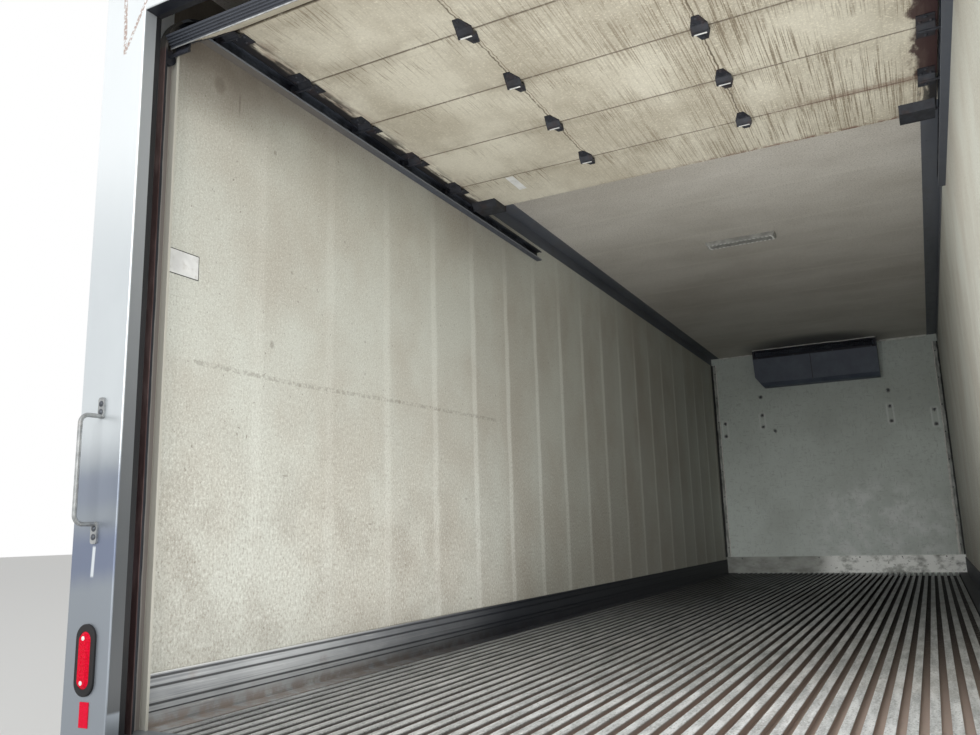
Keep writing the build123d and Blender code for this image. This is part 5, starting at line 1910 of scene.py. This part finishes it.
@dataclass
class Evaporator(Assembly):
    """The cooling casing under the ceiling, with louvres in its air outlet."""

    fin_pitch: float = 0.018
    seam_width: float = 0.006
    seam_height: float = 0.0025
    seam_shift: float = 0.03
    outlet_height: float = 0.105
    outlet_inset: float = 0.024
    louvre_size: Point = (0.0018, 0.026, 0.057)
    louvre_setback: float = 0.018
    louvre_turn: float = 18
    screw_inset: float = 0.05
    screw_spread: float = 0.2
    screw_drop: float = 0.098
    lip_depth: float = 0.07
    lip_height: float = 0.040

    def dress(self) -> None:
        """Gives the casing its finish."""
        low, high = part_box("evaporator")
        self.cover(EvaporatorFinish().make(high.z - self.outlet_height, low.y), "evaporator")

    def build(self) -> None:
        """Adds the outlet louvres, the middle seam and the casing screws."""
        shared = self.shop.finishes
        low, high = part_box("evaporator")
        slot_low, slot_high = low.x + self.outlet_inset, high.x - self.outlet_inset
        count = int((slot_high - slot_low) / self.fin_pitch) - 1
        z_slot = high.z - self.outlet_height / 2
        louvres = self.shop.slats.run(
            "evaporator_louvres", shared.grille, count=count,
            start=(slot_low + self.fin_pitch, low.y + self.louvre_setback, z_slot),
            step=(self.fin_pitch, 0.0, 0.0), size=self.louvre_size,
            turn=(0.0, 0.0, math.radians(self.louvre_turn)),
        )
        self.keep(louvres, "evaporator")
        middle = (low.x + high.x) / 2
        self.keep(self.casing_seam(middle - self.seam_shift, low, high), "evaporator")
        places = (
            low.x + self.screw_inset, middle - self.screw_spread,
            middle + self.screw_spread, high.x - self.screw_inset,
        )
        screws = [Row.single((x, low.y, high.z - self.screw_drop), Facing.REAR) for x in places]
        self.fasten("evaporator_screws", Head.SCREW, screws, shared.dark_steel, "steel")

    def casing_seam(self, x: float, low: Vector, high: Vector) -> Piece:
        """Makes the folded seam that runs down the sloped front of the casing.

        Args:
            x: Its middle.
            low: The casing's lowest corner.
            high: The casing's highest corner.

        Returns:
            The seam.
        """
        top = Vector((0, low.y, high.z - self.outlet_height))
        foot = Vector((0, low.y + self.lip_depth, low.z + self.lip_height))
        out = Vector((0, foot.z - top.z, foot.y - top.y)).normalized() * self.seam_height
        half = self.seam_width / 2
        shape = bmesh.new()
        ring = [
            [shape.verts.new((x + dx, point.y, point.z)) for dx in (-half, half)]
            for point in (top, foot, foot + out, top + out)
        ]
        for first, second in zip(ring, ring[1:] + ring[:1]):
            shape.faces.new((*first, *reversed(second)))
        shape.faces.new([pair[0] for pair in ring])
        shape.faces.new([pair[1] for pair in reversed(ring)])
        bmesh.ops.recalc_face_normals(shape, faces=shape.faces[:])
        return solid_piece("evaporator_seam", shape, self.shop.finishes.grille)


@dataclass
class CondensingUnit(Assembly):
    """The outside unit on the nose: shell, grille, fans, coil, engine and service hatches."""

    latch_size: Pair = (0.046, 0.110)
    latch_inset: float = 0.06
    screw_inset: Pair = (0.05, 0.011)
    screw_count: int = 7
    fin_size: Pair = (0.0008, 0.006)
    coil_rim: float = 0.01
    fin_pitch: float = 0.012

    def dress(self) -> None:
        """Gives the unit its finishes."""
        shared = self.shop.finishes
        self.cover(shared.gelcoat, "unit_housing", "hatch_left", "hatch_right")
        self.cover(shared.grille, "unit_grille")
        self.cover(shared.fan, "fan_left", "fan_right")
        self.cover(shared.dark_steel, "fan_motors", "hatch_hinges")
        self.cover(shared.galvanised, "fan_shroud")
        self.cover(CoilFinish().make(), "condenser_coil")
        self.cover(shared.engine, "unit_engine")

    def build(self) -> None:
        """Adds the latches, grille screws and the coil's fins."""
        shared = self.shop.finishes
        width, height = self.latch_size
        for side, label in SIDE_NAMES.items():
            low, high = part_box(f"hatch_{label}")
            y_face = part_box("unit_housing")[1].y
            free_edge = high.x if side < 0 else low.x
            x_middle = free_edge + side * self.latch_inset
            z_middle = (low.z + high.z) / 2
            for part, dx, dz, back, front, finish, slot, round_off in (
                ("plate", width / 2, height / 2, -0.001, 0.004, shared.dark_steel, "steel", 0.0018),
                ("lever", width / 4, height / 3, 0.003, 0.014, shared.galvanised, "galvanised", 0.004),
            ):
                self.slab(
                    f"hatch_{label}_latch_{part}", (x_middle - dx, y_face + back, z_middle - dz),
                    (x_middle + dx, y_face + front, z_middle + dz), finish, slot, round_off,
                    f"hatch_{label}",
                )
        low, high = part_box("unit_grille")
        dx, dz = self.screw_inset
        screws = [
            Row((low.x + dx, high.y, z), (high.x - dx, high.y, z), self.screw_count, Facing.FRONT)
            for z in (low.z + dz, high.z - dz)
        ]
        self.fasten("grille_screws", Head.SCREW, screws, shared.galvanised, "galvanised")
        low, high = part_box("condenser_coil")
        count = int((high.x - low.x) / self.fin_pitch) - 1
        fins = self.shop.slats.run(
            "condenser_fins", shared.fan, count=count,
            start=(low.x + self.fin_pitch, high.y, (low.z + high.z) / 2),
            step=(self.fin_pitch, 0.0, 0.0), turn=(0.0, 0.0, 0.0),
            size=(*self.fin_size, high.z - low.z - 2 * self.coil_rim),
        )
        self.keep(fins, "coil")


@dataclass(frozen=True)
class SoftLight:
    """A large soft lamp that no camera sees."""

    name: str
    place: Point
    aim: Point
    size: Pair
    power: float
    spread: float = 180.0

    def hang(self) -> None:
        """Makes the lamp and points it at its aim."""
        data = bpy.data.lights.new(self.name, "AREA")
        data.shape = "RECTANGLE"
        data.size, data.size_y = self.size
        data.energy = self.power
        data.spread = math.radians(self.spread)
        lamp = placed(self.name, data)
        lamp.location = self.place
        way = Vector(self.aim) - Vector(self.place)
        lamp.rotation_euler = way.to_track_quat("-Z", "Y").to_euler()
        lamp.visible_camera = False


@dataclass
class Studio:
    """The camera, the pale floor, the white surround and the soft lights."""

    camera_place: Point = (0.9096, -6.001, 0.8804)
    yaw: float = 27.129
    pitch: float = 11.062
    roll: float = -1.631
    lens: float = 30.768
    floor_tone: Colour = tone(226, 226, 224)
    floor_reach: float = 60
    ambient: float = 0.66
    lights: tuple[SoftLight, ...] = (
        SoftLight("key_light", (2.5, -19.0, 6.0), (0.0, 0.0, 1.2), (9.0, 6.0), 1800.0),
        SoftLight("doorway_fill", (0.0, -4.42, 1.45), (0.0, 0.0, 1.45), (2.1, 2.0), 11.0),
        SoftLight("deck_fill", (0.0, -3.0, 0.37), (0.0, -3.0, 2.0), (1.9, 2.4), 29.0),
        SoftLight("nose_fill", (0.2, 0.4, 1.45), (0.55, 3.7, 1.2), (1.2, 1.2), 0.52, 65.0),
        SoftLight("kerb_fill", (-1.0, 0.2, 1.5), (1.17, 0.2, 1.5), (4.4, 1.2), 3.0, 110.0),
        SoftLight("track_fill", (-0.9, -2.9, 2.1), (1.17, -2.4, 2.25), (2.0, 0.5), 4.2, 80.0),
        SoftLight("threshold_fill", (0.3, -3.7, 2.3), (0.3, -3.6, 0.35), (1.4, 0.8), 4.4, 65.0),
    )

    def build(self) -> None:
        """Sets the stage."""
        self.aim_camera()
        self.lay_floor()
        self.surround()
        for light in self.lights:
            light.hang()
        bpy.context.scene.view_settings.view_transform = "Standard"

    def aim_camera(self) -> None:
        """Places the camera where the photographer stood, behind the open doorway."""
        yaw, pitch, roll = (math.radians(a) for a in (self.yaw, self.pitch, self.roll))
        forward = Vector(
            (-math.sin(yaw) * math.cos(pitch), math.cos(yaw) * math.cos(pitch), math.sin(pitch))
        )
        level = Vector((math.cos(yaw), math.sin(yaw), 0))
        upright = level.cross(forward)
        right = math.cos(roll) * level + math.sin(roll) * upright
        up = -math.sin(roll) * level + math.cos(roll) * upright
        data = bpy.data.cameras.new("camera")
        data.sensor_width = 36
        data.lens = self.lens
        data.clip_end = 200
        camera = placed("camera", data)
        camera.matrix_world = Matrix.Translation(self.camera_place) @ Matrix(
            (right, up, -forward)
        ).transposed().to_4x4()
        bpy.context.scene.camera = camera

    def lay_floor(self) -> None:
        """Lays a plain pale floor under the body."""
        mesh = bpy.data.meshes.new("studio_floor")
        corners = ((-1, -1), (1, -1), (1, 1), (-1, 1))
        places = [(self.floor_reach * x, self.floor_reach * y, 0) for x, y in corners]
        mesh.from_pydata(places, [], [(0, 1, 2, 3)])
        paint = Paint("studio_floor_paint")
        mesh.materials.append(paint.done(Base_Color=self.floor_tone, Roughness=0.9))
        floor = placed("studio_floor", mesh)

    def surround(self) -> None:
        """Makes a world that is white to look at and softer as a light."""
        world = bpy.data.worlds.new("studio_world")
        bpy.context.scene.world = world
        world.use_nodes = True
        tree = world.node_tree
        path = add_node(tree, "ShaderNodeLightPath", {})
        seen = path.outputs["Is Camera Ray"]
        for kind in ("Is Glossy Ray", "Is Transmission Ray"):
            highest = add_node(
                tree, "ShaderNodeMath", {0: seen, 1: path.outputs[kind]}, operation="MAXIMUM"
            )
            seen = highest.outputs[0]
        levels = {"Value": seen, "To Min": self.ambient, "To Max": 1.0}
        level = add_node(tree, "ShaderNodeMapRange", levels)
        sky = tree.nodes["Background"]
        feed(sky.inputs["Color"], (1, 1, 1))
        feed(sky.inputs["Strength"], level.outputs[0])


def main() -> None:
    """Builds the stage and every sub-assembly, and reports each piece."""
    logging.basicConfig(level=logging.INFO, format="%(name)s %(message)s")
    shop = Workshop()
    Studio().build()
    kinds = (FloorAndFrame, CargoShell, Lining, RearFrame, RollDoor, Evaporator, CondensingUnit)
    for assembly in (kind(shop) for kind in kinds):
        assembly.dress()
        assembly.build()
        log.info("%s: %d pieces", type(assembly).__name__, len(assembly.pieces))


if __name__ == "__main__":
    main()
